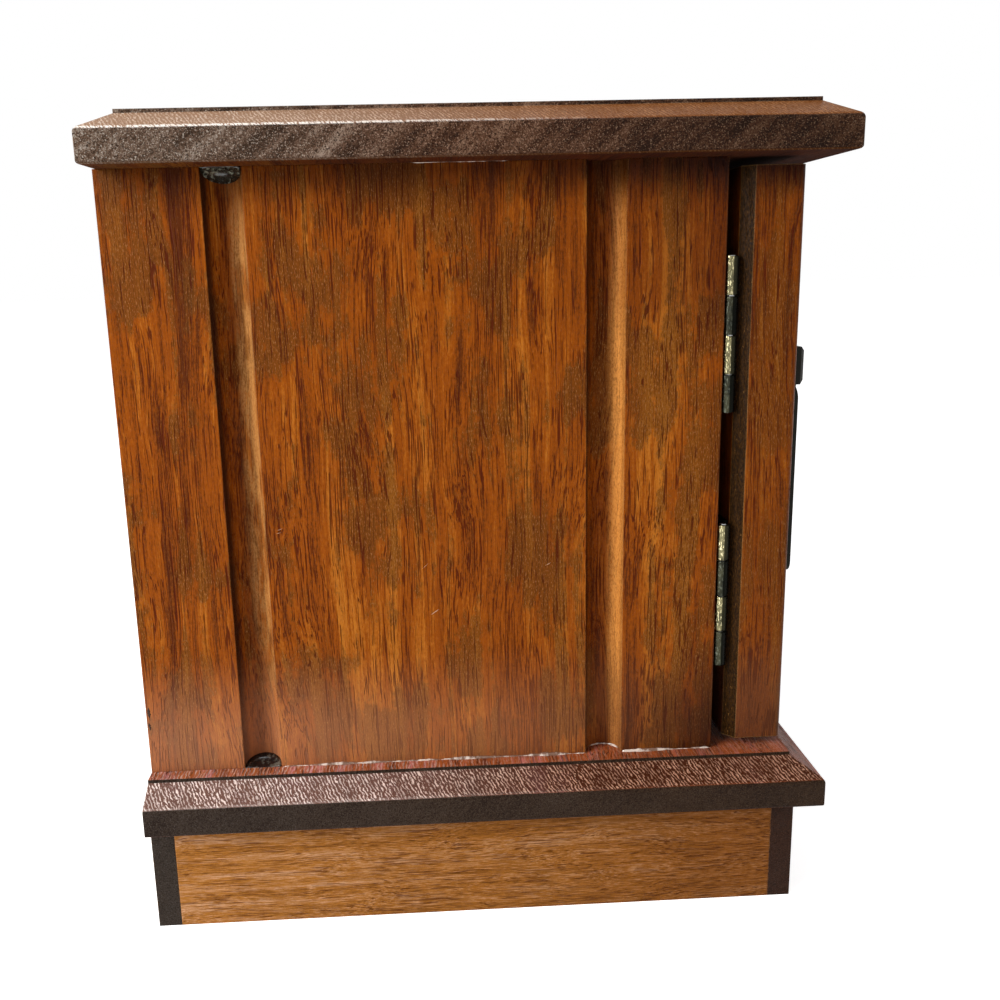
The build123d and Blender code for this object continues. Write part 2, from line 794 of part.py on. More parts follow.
def tune_cylinder():
    """Drum on its arbor with the driving pinion, and tune pins in a row for each comb tooth."""
    end = outer_ear_x + bearing_ear
    start = arbor_x + crown_pitch_radius - pinion_length() / 2
    drum = rod(cylinder_radius, (cylinder_x, axis_y, axis_z),
               (cylinder_x + cylinder_length, axis_y, axis_z))
    arbor = rod(arbor_radius, (start, axis_y, axis_z), (end, axis_y, axis_z))
    pinion = toothed_wheel(pinion_teeth, pinion_pitch_radius, start, start + pinion_length(),
                           axis_y, axis_z, 180)
    pins = []
    pitch = comb_pitch()
    reach = cylinder_radius + tune_pin_height
    for tooth in range(comb_teeth):
        x = cylinder_x + (tooth + 0.5) * pitch
        for note in range(pins_per_track):
            turn = 37 + tooth * 65 + note * 360 / pins_per_track
            pin = block(-tune_pin_width / 2, tune_pin_width / 2,
                        -tune_pin_width / 2, tune_pin_width / 2, cylinder_radius / 2, reach)
            pins.append(Pos(x, axis_y, axis_z) * Rot(turn, 0, 0) * pin)
    return drum + arbor + pinion + pins


def pinion_length():
    return crown_face + crown_clearance


def comb_pitch():
    return cylinder_length / comb_teeth


def cylinder_wheel():
    wheel = toothed_wheel(wheel_teeth, wheel_pitch_radius, wheel_x, wheel_x + wheel_face,
                          axis_y, axis_z, 90)
    return wheel - rod(arbor_radius + wheel_bore_clearance, (wheel_x, axis_y, axis_z),
                       (wheel_x + wheel_face, axis_y, axis_z))


def tuned_comb():
    """Steel comb whose slots grow longer from the treble end to the bass end."""
    tip_y = axis_y + cylinder_radius + tune_pin_height + comb_tip_gap
    z = comb_bottom_z()
    comb = block(cylinder_x, cylinder_x + cylinder_length, tip_y, bed_back_y, z, z + comb_thickness)
    slots = []
    for tooth in range(1, comb_teeth):
        x = cylinder_x + tooth * comb_pitch()
        length = comb_tooth_length * (1 - comb_treble_share * tooth / comb_teeth)
        slots.append(block(x - comb_slot / 2, x + comb_slot / 2, tip_y, tip_y + length,
                           z, z + comb_thickness))
    return comb - slots


def governor_housing():
    """Closed case of the speed governor, bored for the arbor of its pinion."""
    case = block(governor_x0, governor_x1, governor_front_y, governor_back_y,
                 bed_top, bed_top + governor_height)
    case = chamfer(level_edges(case, bed_top + governor_height), governor_chamfer)
    bore = arbor_radius + arbor_running_clearance
    return case - rod(bore, (governor_x1 - governor_arbor_depth, governor_y, axis_z),
                      (governor_x1, governor_y, axis_z))


def governor_pinion():
    """Small pinion that the cylinder's wheel drives, on an arbor into the housing."""
    start = governor_x1 - governor_arbor_depth + arbor_running_clearance
    arbor = rod(arbor_radius, (start, governor_y, axis_z), (wheel_x, governor_y, axis_z))
    phase = -90 + 180 / governor_teeth
    return arbor + toothed_wheel(governor_teeth, governor_pitch_radius, wheel_x,
                                 wheel_x + wheel_face, governor_y, axis_z, phase)


def stop_lever():
    """Lever that the lowest drawer presses: a long arm with an upright pad and a short finger."""
    z = bed_top + stop_lever_lift
    half = stop_lever_width / 2
    boss = rod(stop_boss_radius, (stop_pivot_x, stop_pivot_y, z),
               (stop_pivot_x, stop_pivot_y, z + stop_lever_thickness))
    arm = block(stop_pivot_x - stop_arm, stop_pivot_x, stop_pivot_y - half, stop_pivot_y + half,
                z, z + stop_lever_thickness)
    pad_x = stop_pivot_x - stop_arm
    foot = block(pad_x, pad_x + stop_lever_width, bed_front_y, stop_pivot_y + half,
                 z, z + stop_lever_thickness)
    pad = block(pad_x, pad_x + stop_lever_width, bed_front_y, bed_front_y + stop_pad_thickness,
                z, z + stop_pad_height)
    finger = block(stop_pivot_x, governor_x0 - governor_gap, stop_pivot_y - half / 2,
                   stop_pivot_y + half / 2, z, z + stop_lever_thickness)
    bore = stop_post_radius + stop_running_clearance
    return boss + arm + foot + pad + finger - rod(bore, (stop_pivot_x, stop_pivot_y, z),
                                  (stop_pivot_x, stop_pivot_y, z + stop_lever_thickness))


def case_parts():
    parts = {"top_board": moulded_board(carcass_top, True), "base_board": base_board()}
    parts.update(plinth_boards())
    parts["back_panel"] = back_board()
    for level, name in ((1, "lower"), (2, "upper")):
        parts[f"drawer_divider_{name}"] = divider_board(level)
    for side, sign in sides.items():
        parts[f"side_wall_{side}"] = side_wall_board(sign)
        parts[f"partition_{side}"] = partition_board(sign)
    parts["door_catches"] = door_catches()
    parts["necklace_hooks"] = necklace_hooks()
    parts["hinge_pins"] = hinge_pins()
    return parts


def door_parts():
    parts = {}
    for side, sign in sides.items():
        parts[f"door_stiles_{side}"] = door_stiles(sign)
        parts[f"door_rails_{side}"] = door_rails(sign)
        parts[f"door_panel_{side}"] = door_panel(sign)
        parts[f"door_strike_{side}"] = door_strike(sign)
        parts[f"hinge_leaves_wall_{side}"] = hinge_leaves(sign, False)
        parts[f"hinge_leaves_door_{side}"] = hinge_leaves(sign, True)
        parts[f"pull_post_{side}"] = pull_post(sign)
        parts[f"pull_drop_{side}"] = pull_drop(sign)
    return parts


def drawer_parts():
    parts = {}
    for level, name in enumerate(("lower", "middle", "upper")):
        parts[f"drawer_{name}_front"] = drawer_front(level)
        parts[f"drawer_{name}_box"] = drawer_box(level)
        parts[f"drawer_{name}_bottom"] = drawer_bottom_board(level)
        parts[f"drawer_{name}_knob"] = drawer_knob(level)
        liner = ring_roll_liner if name == "upper" else drawer_liner
        parts[f"drawer_{name}_liner"] = liner(level)
    return parts


def movement_parts():
    return {
        "movement_bedplate": movement_bedplate(),
        "spring_housing": spring_housing(),
        "spring_arbor": spring_arbor(),
        "crown_wheel": crown_wheel(),
        "winding_key": winding_key(),
        "tune_cylinder": tune_cylinder(),
        "cylinder_wheel": cylinder_wheel(),
        "tuned_comb": tuned_comb(),
        "governor_housing": governor_housing(),
        "governor_pinion": governor_pinion(),
        "stop_lever": stop_lever(),
    }


os.makedirs("parts", exist_ok=True)
for make in (case_parts, door_parts, drawer_parts, movement_parts):
    for node, solid in make().items():
        export_step(solid, f"parts/{node}.step")
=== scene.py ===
"""Dresses a musical jewelry box: varnished boards, hinges, pulls, linings and movement."""

import math

import bmesh
import bpy
from bpy.props import FloatProperty, FloatVectorProperty, IntProperty, PointerProperty
from mathutils import Matrix, Vector, noise


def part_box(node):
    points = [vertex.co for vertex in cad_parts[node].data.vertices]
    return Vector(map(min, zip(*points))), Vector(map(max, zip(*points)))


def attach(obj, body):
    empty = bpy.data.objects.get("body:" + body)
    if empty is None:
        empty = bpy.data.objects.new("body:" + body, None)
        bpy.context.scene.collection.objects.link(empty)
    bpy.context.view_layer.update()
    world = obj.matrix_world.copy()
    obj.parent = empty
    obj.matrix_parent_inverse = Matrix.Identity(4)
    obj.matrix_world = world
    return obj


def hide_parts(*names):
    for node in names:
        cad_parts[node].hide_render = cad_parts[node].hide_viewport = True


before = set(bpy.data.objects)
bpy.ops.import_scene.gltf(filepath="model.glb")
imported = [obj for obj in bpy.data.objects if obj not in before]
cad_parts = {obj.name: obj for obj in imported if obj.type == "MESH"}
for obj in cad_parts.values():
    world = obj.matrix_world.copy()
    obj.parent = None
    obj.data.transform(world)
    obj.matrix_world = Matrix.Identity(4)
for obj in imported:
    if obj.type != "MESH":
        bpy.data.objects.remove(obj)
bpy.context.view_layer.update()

bl_info = {
    "name": "Musical jewelry box",
    "version": (1, 0, 0),
    "blender": (4, 5, 0),
    "location": "View3D > Sidebar > Jewelry Box",
    "description": "Finishes and soft linings of a wooden musical jewelry box",
    "category": "Object",
}

MM = 0.001
BACK_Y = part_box("side_wall_left")[1].y
SIDE_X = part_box("side_wall_left")[0].x
BASE_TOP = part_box("side_wall_left")[0].z
CARCASS_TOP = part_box("side_wall_left")[1].z

# Directions that become the three of a board, for fibres along each direction
SWIZZLE = {"X": (1, 2, 0), "Y": (2, 0, 1), "Z": (0, 1, 2)}

# Lengths in millimetres of the parts that the added pieces follow
CASE_DEPTH = 146.4
FLUTES = (28.75, 117.8)
FLUTE_RADIUS = 4.75
HINGE_LENGTH = 38.0
HINGE_LEAF = 0.9
HINGE_SCREW_FROM_SIDE = 8.0
PAD_BORDER = 2.2
ROLL_PITCH = 11.8
ROLL_GAP = 1.4
ROLL_BASE = 2.6
ROLL_END = 3.0

# Levels in millimetres between which each painted light or shade comes or goes, the colour of
# painted shade at the front, and the colour of open pores
FOOT_LIGHT_AND_SHADE = (74.0, 47.0)
SHADED_STRIP = (145.0, 162.0)
UNDER_OVERHANG = (179.0, 190.0)
FLUTE_FOOT = (50.0, 86.0)
FLUTE_HEAD = (190.0, 166.0)
FRONT_SHADE = ((1.0, 1.0, 1.0), (1.0, 1.0, 1.0), (0.50, 0.44, 0.44))
PORE = (0.062, 0.006, 0.0002)
BUMP_DEPTH = 0.22 * MM
ROLL_ROWS = 230
KNOB_SIDES = 64
PICTURE_SHIFT = (0.03884, -0.0239)

# Depth behind the face of a knob's head and radius there, in millimetres
KNOB_OUTLINE = ((0.0, 0.0), (0.0, 3.4), (0.15, 4.5), (0.6, 5.3), (1.3, 5.8), (2.1, 5.97),
                (2.9, 5.97), (3.5, 5.7), (4.3, 5.0), (5.2, 4.0), (6.1, 3.1), (7.2, 2.65),
                (8.6, 2.55), (10.6, 2.6), (11.5, 2.95), (12.0, 3.6), (12.25, 4.4), (12.5, 4.9),
                (13.0, 4.97), (14.0, 4.97), (14.0, 0.0))


def colour_property(name, description, default):
    return FloatVectorProperty(name=name, description=description, default=default, size=3,
                               subtype="COLOR", min=0.0, max=1.0)


def length_property(name, description, default):
    return FloatProperty(name=name, description=description, default=default, min=0.0,
                         subtype="DISTANCE", unit="LENGTH")


def share_property(name, description, default, highest=1.0):
    return FloatProperty(name=name, description=description, default=default, min=0.0,
                         max=highest, subtype="FACTOR")


def angle_property(name, description, degrees):
    return FloatProperty(name=name, description=description, default=math.radians(degrees),
                         subtype="ANGLE")


class WoodFinish(bpy.types.PropertyGroup):
    """Colours and varnish of the boards."""
    dark: colour_property("Dark streaks", "Darkest streaks between the pores",
                          (0.080, 0.0155, 0.0006))
    body: colour_property("Body", "Main colour of the varnished wood", (0.245, 0.053, 0.001))
    bright: colour_property("Bright streaks", "Lightest orange streaks", (0.420, 0.134, 0.0114))
    end_dark: colour_property("Dark end grain", "Pits of the cut end grain", (0.020, 0.009, 0.004))
    end_body: colour_property("End grain", "Cut end grain of the top", (0.085, 0.046, 0.028))
    end_light: colour_property("Light end grain", "Bright specks of the end grain",
                               (0.40, 0.32, 0.26))
    plinth: colour_property("Plinth", "Paler wood of the plinth's side boards",
                            (0.360, 0.135, 0.0158))
    gloss: share_property("Gloss", "Roughness of the varnish where it is intact", 0.30)
    pores: share_property("Open pores", "How strongly the open pores show", 0.9)


class MetalFinish(bpy.types.PropertyGroup):
    """Colours of hinges, pulls, knobs and the movement, and the places of its screws."""
    brass: colour_property("Brass", "Pale lacquered brass of knobs and hooks", (0.62, 0.50, 0.26))
    hinge: colour_property("Hinge brass", "Dull yellow-green brass of the hinges",
                           (0.17, 0.15, 0.078))
    tarnish: colour_property("Tarnish", "Olive tarnish on old brass", (0.045, 0.043, 0.026))
    pull: colour_property("Pulls", "Near-black metal of the door pulls", (0.010, 0.009, 0.006))
    steel: colour_property("Steel", "Comb, pins and screws", (0.56, 0.56, 0.55))
    comb_land: length_property("Comb's land", "Solid back of the comb, which is screwed down",
                               0.008)
    comb_screw: length_property("Comb screw", "Radius of the heads on the comb", 0.0024)
    plate: length_property("Bedplate", "Thickness of the movement's bedplate", 0.003)
    plate_screw: length_property("Bedplate screw", "Radius of the heads on the bedplate", 0.0022)
    plate_inset: length_property("Bedplate screw inset", "From the bedplate's border to a screw",
                                 0.0036)


class LiningFinish(bpy.types.PropertyGroup):
    """Velvet in the drawers."""
    velvet: colour_property("Velvet", "Pile of the drawer linings", (0.115, 0.010, 0.018))
    roll_sag: length_property("Sag of a ring roll", "How far a roll dips between its ends", 0.0004)
    columns: IntProperty(name="Mesh columns", description="Columns across a lining", default=72,
                         min=8)


class StageSetting(bpy.types.PropertyGroup):
    """Floor, lamps and camera."""
    floor: colour_property("Floor", "Plain pale floor", (0.92, 0.92, 0.92))
    sky: share_property("Sky light", "Soft light from all round", 0.24, 2.0)
    lens: FloatProperty(name="Lens", description="Focal length on a 36 mm wide sensor",
                        default=35.155, min=10.0, max=200.0, subtype="DISTANCE_CAMERA")
    yaw: angle_property("Yaw", "Turn of the camera towards the front", 2.34)
    pitch: angle_property("Pitch", "How far the camera looks down", 12.23)
    roll: angle_property("Roll", "Tilt of the camera about its view", 1.41)
    height: length_property("Camera height", "Height of the camera above the floor", 0.16739)
    distance: length_property("Camera distance", "From the side of the box to the camera", 0.23462)
    from_back: length_property("Camera place", "From the back of the box forwards", 0.0725)


class Shading:
    """A node tree, with short words for the nodes that the finishes are made of."""

    def __init__(self, tree):
        self.tree = tree

    def feed(self, socket, value):
        """Links a socket to another, or sets its value; a colour may leave out its alpha."""
        if isinstance(value, bpy.types.NodeSocket):
            self.tree.links.new(value, socket)
        elif socket.type == "RGBA" and len(value) == 3:
            socket.default_value = (*value, 1.0)
        else:
            socket.default_value = value

    def add(self, kind, sockets=None, **settings):
        """Places a node with its settings, and feeds its sockets."""
        new = self.tree.nodes.new(kind)
        for name, value in settings.items():
            setattr(new, name, value)
        for name, value in (sockets or {}).items():
            self.feed(new.inputs[name], value)
        return new

    def use(self, name, **sockets):
        """Places a node group with its own values."""
        placed = self.add("ShaderNodeGroup", node_tree=bpy.data.node_groups[name])
        for label, value in sockets.items():
            self.feed(placed.inputs[label], value)
        return placed.outputs

    def deliver(self, **values):
        """Feeds the outputs of a node group."""
        for label, value in values.items():
            self.feed(self.out[label], value)

    def maths(self, operation, *values):
        return self.add("ShaderNodeMath", dict(enumerate(values)), operation=operation).outputs[0]

    def times(self, first, *others):
        for other in others:
            first = self.maths("MULTIPLY", first, other)
        return first

    def plus(self, base, *shares):
        """Base with other values on top, each one followed by its share."""
        for value, share in zip(shares[::2], shares[1::2]):
            base = self.maths("MULTIPLY_ADD", value, share, base)
        return base

    def about(self, value):
        """A noise's distance from its middle."""
        return self.maths("SUBTRACT", value, 0.5)

    def vary(self, base, *shares):
        """Base moved up and down by noises, each one followed by its share."""
        for value, share in zip(shares[::2], shares[1::2]):
            base = self.plus(base, self.about(value), share)
        return base

    def moved(self, position, by):
        return self.add("ShaderNodeVectorMath", {0: position, 1: by}, operation="ADD").outputs[0]

    def scaled(self, position, scale):
        return self.add("ShaderNodeVectorMath", {0: position, "Scale": scale},
                        operation="SCALE").outputs[0]

    def noise(self, position, scale, detail=2.0, roughness=0.5):
        """Noise whose scale may differ along three directions, in cells per millimetre."""
        scale = scale if isinstance(scale, tuple) else (scale,) * 3
        placed = self.add("ShaderNodeMapping", {"Vector": position, "Scale": scale}).outputs[0]
        return self.add("ShaderNodeTexNoise", {"Vector": placed, "Scale": 1.0, "Detail": detail,
                                               "Roughness": roughness}).outputs["Fac"]

    def ramp(self, value, low, high, start=0.0, end=1.0):
        """Smooth step from start to end while the value goes from low to high."""
        return self.add("ShaderNodeMapRange",
                        {"Value": value, "From Min": low, "From Max": high, "To Min": start,
                         "To Max": end}, interpolation_type="SMOOTHSTEP").outputs[0]

    def mix(self, factor, first, second, blend="MIX"):
        return self.add("ShaderNodeMix", {0: factor, 6: first, 7: second},
                        data_type="RGBA", blend_type=blend).outputs[2]

    def lay(self, colour, mask, share, over):
        """Lays a share of another colour over this one where the mask is."""
        return self.mix(self.times(mask, share), colour, over)

    def parts(self, vector):
        return self.add("ShaderNodeSeparateXYZ", {0: vector}).outputs


def group(name, inputs, outputs):
    """Starts a node group, whose sockets are listed as label:kind."""
    tree = Shading(bpy.data.node_groups.new(name, "ShaderNodeTree"))
    for side, sockets in (("INPUT", inputs), ("OUTPUT", outputs)):
        for socket in sockets.split():
            label, kind = socket.split(":")
            tree.tree.interface.new_socket(label, in_out=side, socket_type=f"NodeSocket{kind}")
    tree.out = tree.add("NodeGroupOutput").inputs
    return tree, tree.add("NodeGroupInput").outputs


def rgba(colour, factor=1.0):
    return (colour[0] * factor, colour[1] * factor, colour[2] * factor, 1.0)


def build_wood_group():
    """Streaks, dull patches and open pores of varnished hardwood, with flecks of painted glint in
    its varnish.
    """
    tree, given = group("Varnished hardwood", "Position:Vector Dark:Color Body:Color Bright:Color "
                        "Pores:Float Streaks:Float Fibre:Float Patches:Float Gloss:Float",
                        "Colour:Color Roughness:Float Height:Float")
    position = given["Position"]
    drift = tree.noise(position, (0.03, 0.03, 0.010))
    sway = tree.plus(-7.0, drift, 14.0)
    shift = tree.add("ShaderNodeCombineXYZ", {"X": sway, "Y": sway, "Z": 0.0}).outputs[0]
    moved = tree.moved(position, shift)
    board = tree.noise(moved, (0.085, 0.085, 0.004))
    broad = tree.noise(moved, (0.30, 0.30, 0.011), 3.0, 0.55)
    streak = tree.noise(moved, (1.3, 1.3, 0.03), 3.0, 0.6)
    fibre = tree.noise(moved, (4.6, 4.6, 0.16), 3.0, 0.65)
    mottle = tree.noise(position, (1.8, 1.8, 0.9), 3.0, 0.6)
    patch = tree.noise(position, (0.060, 0.060, 0.042), 5.0, 0.60)
    ragged = tree.vary(patch, broad, 0.55, mottle, 0.22)
    gloom = tree.times(tree.ramp(ragged, 0.500, 0.575), given["Patches"])
    glitter = tree.noise(position, (4.8, 4.8, 1.0), 2.0, 0.6)
    sparkle = tree.ramp(glitter, 0.57, 0.68)
    murk = tree.ramp(glitter, 0.46, 0.36)

    crowd = tree.noise(moved, (0.22, 0.22, 0.035), 2.0, 0.6)
    field = tree.noise(moved, (2.8, 2.8, 0.075))
    dash = tree.ramp(tree.vary(field, crowd, 0.45), 0.630, 0.655)
    contour = tree.noise(moved, (1.05, 1.05, 0.020), 1.0, 0.4)
    gaps = tree.noise(moved, (1.3, 1.3, 0.085), 2.0, 0.55)
    broken = tree.ramp(tree.vary(gaps, crowd, 0.45), 0.48, 0.53)
    near = tree.ramp(tree.maths("ABSOLUTE", tree.about(contour)), 0.034, 0.016)
    line = tree.times(near, broken)
    pore = tree.maths("MAXIMUM", dash, line)
    hair = tree.ramp(tree.noise(moved, (6.0, 6.0, 0.30)), 0.56, 0.68)

    tone = tree.vary(0.0, broad, 0.95, board, 0.75, streak, 0.55, mottle, 0.40)
    thread = tree.times(tree.about(fibre), given["Fibre"])
    tone = tree.plus(tree.times(tone, given["Streaks"]), thread, 0.50)
    colour = tree.mix(tree.ramp(tone, -0.30, 0.0), given["Dark"], given["Body"])
    colour = tree.mix(tree.ramp(tone, -0.02, 0.30), colour, given["Bright"])
    dull = tree.mix(0.34, given["Dark"], (0.120, 0.060, 0.009))
    colour = tree.lay(colour, gloom, 0.74, dull)
    colour = tree.mix(tree.times(murk, tree.times(gloom, 0.55)), colour, (0.036, 0.011, 0.0015))
    # Painted glints: bright flecks where the bumpy varnish would catch the lamps, more of them in
    # the dull patches.
    lit_fleck = tree.times(sparkle, tree.plus(0.11, gloom, 0.46))
    colour = tree.mix(lit_fleck, colour, tree.mix(0.50, given["Bright"], (0.46, 0.28, 0.13)))
    colour = tree.lay(colour, hair, 0.18, PORE)
    pore_mask = tree.times(pore, given["Pores"])
    colour = tree.lay(colour, pore_mask, 0.92, PORE)

    rough = tree.plus(given["Gloss"], gloom, 0.16, pore_mask, 0.25)
    rough = tree.vary(rough, mottle, 0.20)
    height = tree.plus(0.0, fibre, 0.55, pore_mask, -1.0, sparkle, 0.35, mottle, 0.35)
    tree.deliver(Colour=colour, Roughness=rough, Height=height)


def build_end_grain_group():
    """Coarse speckle of cut fibres, faint slanting growth bands and pits."""
    tree, given = group("Cut end grain",
                        "Position:Vector Dark:Color Body:Color Light:Color Bands:Float",
                        "Colour:Color Height:Float")
    position = given["Position"]
    leaning = tree.add("ShaderNodeMapping",
                       {"Vector": position, "Rotation": (0.0, 0.0, math.radians(40))}).outputs[0]
    ring = tree.noise(leaning, (0.035, 0.28, 0.02), 3.0)
    cloud = tree.noise(position, (0.05, 0.05, 0.10), 3.0, 0.55)
    grit = tree.noise(position, 2.7, 3.0, 0.7)
    crumb = tree.noise(position, 1.2)
    bright = tree.ramp(tree.noise(position, 3.4, 1.0), 0.59, 0.68)
    pit = tree.ramp(tree.noise(position, 2.6, 1.0), 0.44, 0.34)
    tone = tree.vary(grit, ring, given["Bands"], cloud, 0.45, crumb, 0.40)
    colour = tree.mix(tree.ramp(tone, 0.30, 0.52), given["Dark"], given["Body"])
    colour = tree.mix(tree.ramp(tone, 0.52, 0.86, 0.0, 0.55), colour, given["Light"])
    colour = tree.lay(colour, bright, 0.70, given["Light"])
    colour = tree.lay(colour, pit, 0.92, given["Dark"])
    height = tree.plus(grit, bright, 0.8)
    tree.deliver(Colour=colour, Height=height)


def build_stroke_group():
    """Short bright strokes across a bevel that cuts the fibres at a slant."""
    tree, given = group("Slanting strokes", "Position:Vector", "Mask:Float Height:Float")
    leaning = tree.add("ShaderNodeMapping",
                       {"Vector": given["Position"], "Rotation": (0.0, 0.0, math.radians(-64)),
                        "Scale": (1.0, 2.1, 1.0)}).outputs[0]
    across = tree.parts(leaning)["Y"]
    sway = tree.noise(leaning, (0.45, 0.60, 0.3), 3.0, 0.65)
    phase = tree.plus(0.0, sway, 15.0, across, 7.4)
    field = tree.noise(leaning, (0.9, 3.2, 0.3))
    crest = tree.ramp(tree.maths("SINE", phase), -0.40, 0.98)
    clump = tree.noise(given["Position"], (0.28, 0.28, 0.10))
    sparse = tree.ramp(clump, 0.36, 0.56, 0.55, 1.0)
    tree.deliver(Mask=tree.times(crest, sparse, tree.ramp(field, 0.40, 0.54)), Height=field)


def build_wear_group():
    """Mask of outer arrises, broken up as handling leaves them, and the softened normal."""
    tree, given = group("Worn arris", "Position:Vector Width:Float",
                        "Mask:Float Edge:Float Normal:Vector")
    soft = tree.add("ShaderNodeBevel", {"Radius": given["Width"]}, samples=6).outputs[0]
    flat = tree.add("ShaderNodeNewGeometry").outputs["Normal"]
    match = tree.add("ShaderNodeVectorMath", {0: soft, 1: flat}, operation="DOT_PRODUCT")
    edge = tree.ramp(match.outputs["Value"], 0.86, 0.995, 1.0, 0.0)
    broken = tree.ramp(tree.noise(given["Position"], 0.25, 4.0, 0.65), 0.40, 0.60)
    fine = tree.ramp(tree.noise(given["Position"], 2.2, 3.0), 0.35, 0.60)
    tree.deliver(Mask=tree.times(edge, broken, fine), Edge=edge, Normal=soft)


def build_grime_group():
    """Smudges and fine dust that change gloss and colour a little everywhere."""
    tree, given = group("Smudges and dust", "Position:Vector Amount:Float",
                        "Smudge:Float Dust:Float")
    cloud = tree.noise(given["Position"], 0.06, 5.0, 0.6)
    specks = tree.noise(given["Position"], 5.0)
    smudge = tree.times(tree.ramp(cloud, 0.42, 0.66), given["Amount"])
    dust = tree.times(tree.ramp(specks, 0.66, 0.76), given["Amount"])
    tree.deliver(Smudge=smudge, Dust=dust)


def build_tarnish_group():
    """Cloudy tarnish, brushing and pits on metal."""
    tree, given = group("Tarnished metal",
                        "Position:Vector Clean:Color Tarnished:Color Amount:Float Polish:Float",
                        "Colour:Color Roughness:Float Height:Float")
    cloud = tree.noise(given["Position"], (0.35, 0.35, 0.22), 5.0, 0.62)
    brushed = tree.noise(given["Position"], (9.0, 9.0, 0.6))
    pits = tree.ramp(tree.noise(given["Position"], 3.8, 3.0), 0.60, 0.72)
    stain = tree.ramp(tree.plus(cloud, tree.about(given["Amount"]), 0.5), 0.38, 0.66)
    colour = tree.mix(stain, given["Clean"], given["Tarnished"])
    colour = tree.lay(colour, pits, 0.6, given["Tarnished"])
    rough = tree.vary(tree.plus(given["Polish"], stain, 0.22), brushed, 0.12)
    height = tree.plus(0.0, brushed, 0.5, pits, -1.0)
    tree.deliver(Colour=colour, Roughness=rough, Height=height)


def new_material(name):
    """Empty material with the position in millimetres and the normal at hand."""
    material = bpy.data.materials.new(name)
    material.use_nodes = True
    material.node_tree.nodes.clear()
    tree = Shading(material.node_tree)
    tree.material = material
    place = tree.add("ShaderNodeTexCoord").outputs
    tree.position = tree.scaled(place["Object"], 1 / MM)
    tree.normal = place["Normal"]
    return tree


def finish_surface(tree, colour, roughness, height, depth, normal=None, **sockets):
    """Puts the shader and its bump at the end of a material, which is returned."""
    bump = tree.add("ShaderNodeBump", {"Height": height, "Distance": depth, "Strength": 0.8})
    if normal is not None:
        tree.feed(bump.inputs["Normal"], normal)
    shader = tree.add("ShaderNodeBsdfPrincipled",
                      {"Base Color": colour, "Roughness": roughness, "Normal": bump.outputs[0]})
    for label, value in sockets.items():
        tree.feed(shader.inputs[label.replace("_", " ")], value)
    tree.add("ShaderNodeOutputMaterial", {"Surface": shader.outputs[0]})
    return tree.material


def turned_position(tree, grain, offset):
    """Position with its third direction along the fibres, moved so that boards differ."""
    parts = tree.parts(tree.position)
    turned = dict(zip("XYZ", (parts[place] for place in SWIZZLE[grain])))
    return tree.moved(tree.add("ShaderNodeCombineXYZ", turned).outputs[0], offset)


def side_light(tree, near, far):
    """From nought at one place along the depth of the box to one at another."""
    return tree.ramp(tree.parts(tree.position)["Y"], near, far)


def lit_and_shaded_flutes(tree, colour, *flutes):
    """Painted highlight on the forward half of each flute, where the key lamp's light is painted,
    and painted shade in the corner opposite.
    """
    parts = tree.parts(tree.position)
    grit = tree.noise(tree.position, (2.6, 2.6, 1.3), 3.0, 0.7)
    drift = tree.noise(tree.position, (0.3, 0.3, 0.030))
    inward = tree.maths("SUBTRACT", -SIDE_X / MM, tree.maths("ABSOLUTE", parts["X"]))
    hollow = tree.times(tree.ramp(inward, 0.04, 0.20), tree.ramp(inward, 6.0, 5.5))
    cloud = tree.noise(tree.position, (0.35, 0.35, 0.085), 3.0, 0.6)
    for along, (pale, start, thin, foot) in zip(FLUTES, flutes):
        centre = BACK_Y / MM - along
        across = tree.maths("DIVIDE", tree.maths("SUBTRACT", centre, parts["Y"]), FLUTE_RADIUS)
        within = tree.times(hollow, tree.ramp(tree.maths("ABSOLUTE", across), 1.08, 1.02))
        turn = tree.vary(across, drift, 0.7)
        highlight_and_wear = tree.times(tree.ramp(turn, start, start + 0.50), within,
                            tree.ramp(cloud, 0.40, 0.56, thin),
                            tree.ramp(parts["Z"], *FLUTE_FOOT, foot),
                            tree.ramp(parts["Z"], *FLUTE_HEAD, 0.45),
                            tree.ramp(grit, 0.38, 0.58, 0.38))
        colour = tree.mix(highlight_and_wear, colour, pale)
        # Brighter core of the painted highlight.
        core = tree.times(tree.ramp(turn, 0.50, 0.68), tree.ramp(turn, 0.98, 0.84), highlight_and_wear)
        colour = tree.lay(colour, core, 0.75, rgba(pale, 1.35))
        # Painted shade in the flute's opposite corner.
        corner = tree.times(tree.ramp(across, -0.70, -0.95, 0.0, 0.85), within)
        colour = tree.mix(corner, colour, (0.022, 0.006, 0.003))
    return colour


def rubbed_chamfer(tree, colour, ground, highlight_and_wear):
    """Dull rough finish on the chamfer behind a door, with pale flecks where a noise is high."""
    parts = tree.parts(tree.normal)
    flatness = tree.times(tree.maths("ABSOLUTE", parts["X"]), parts["Y"])
    grit = tree.noise(tree.position, (3.0, 3.0, 1.2), 3.0, 0.65)
    dull = tree.mix(tree.ramp(grit, 0.40, 0.66), rgba(ground, 0.45), rgba(ground, 1.8))
    dull = tree.mix(tree.ramp(grit, 0.66, 0.78), dull, highlight_and_wear)
    return tree.mix(tree.ramp(flatness, 0.30, 0.42), colour, dull)


def along_depth(tree, back, middle, front):
    """Colour that changes from the back of the box through its middle to the front."""
    first = tree.mix(side_light(tree, 75.0, 5.0), back, middle)
    return tree.mix(side_light(tree, 5.0, -65.0), first, front)


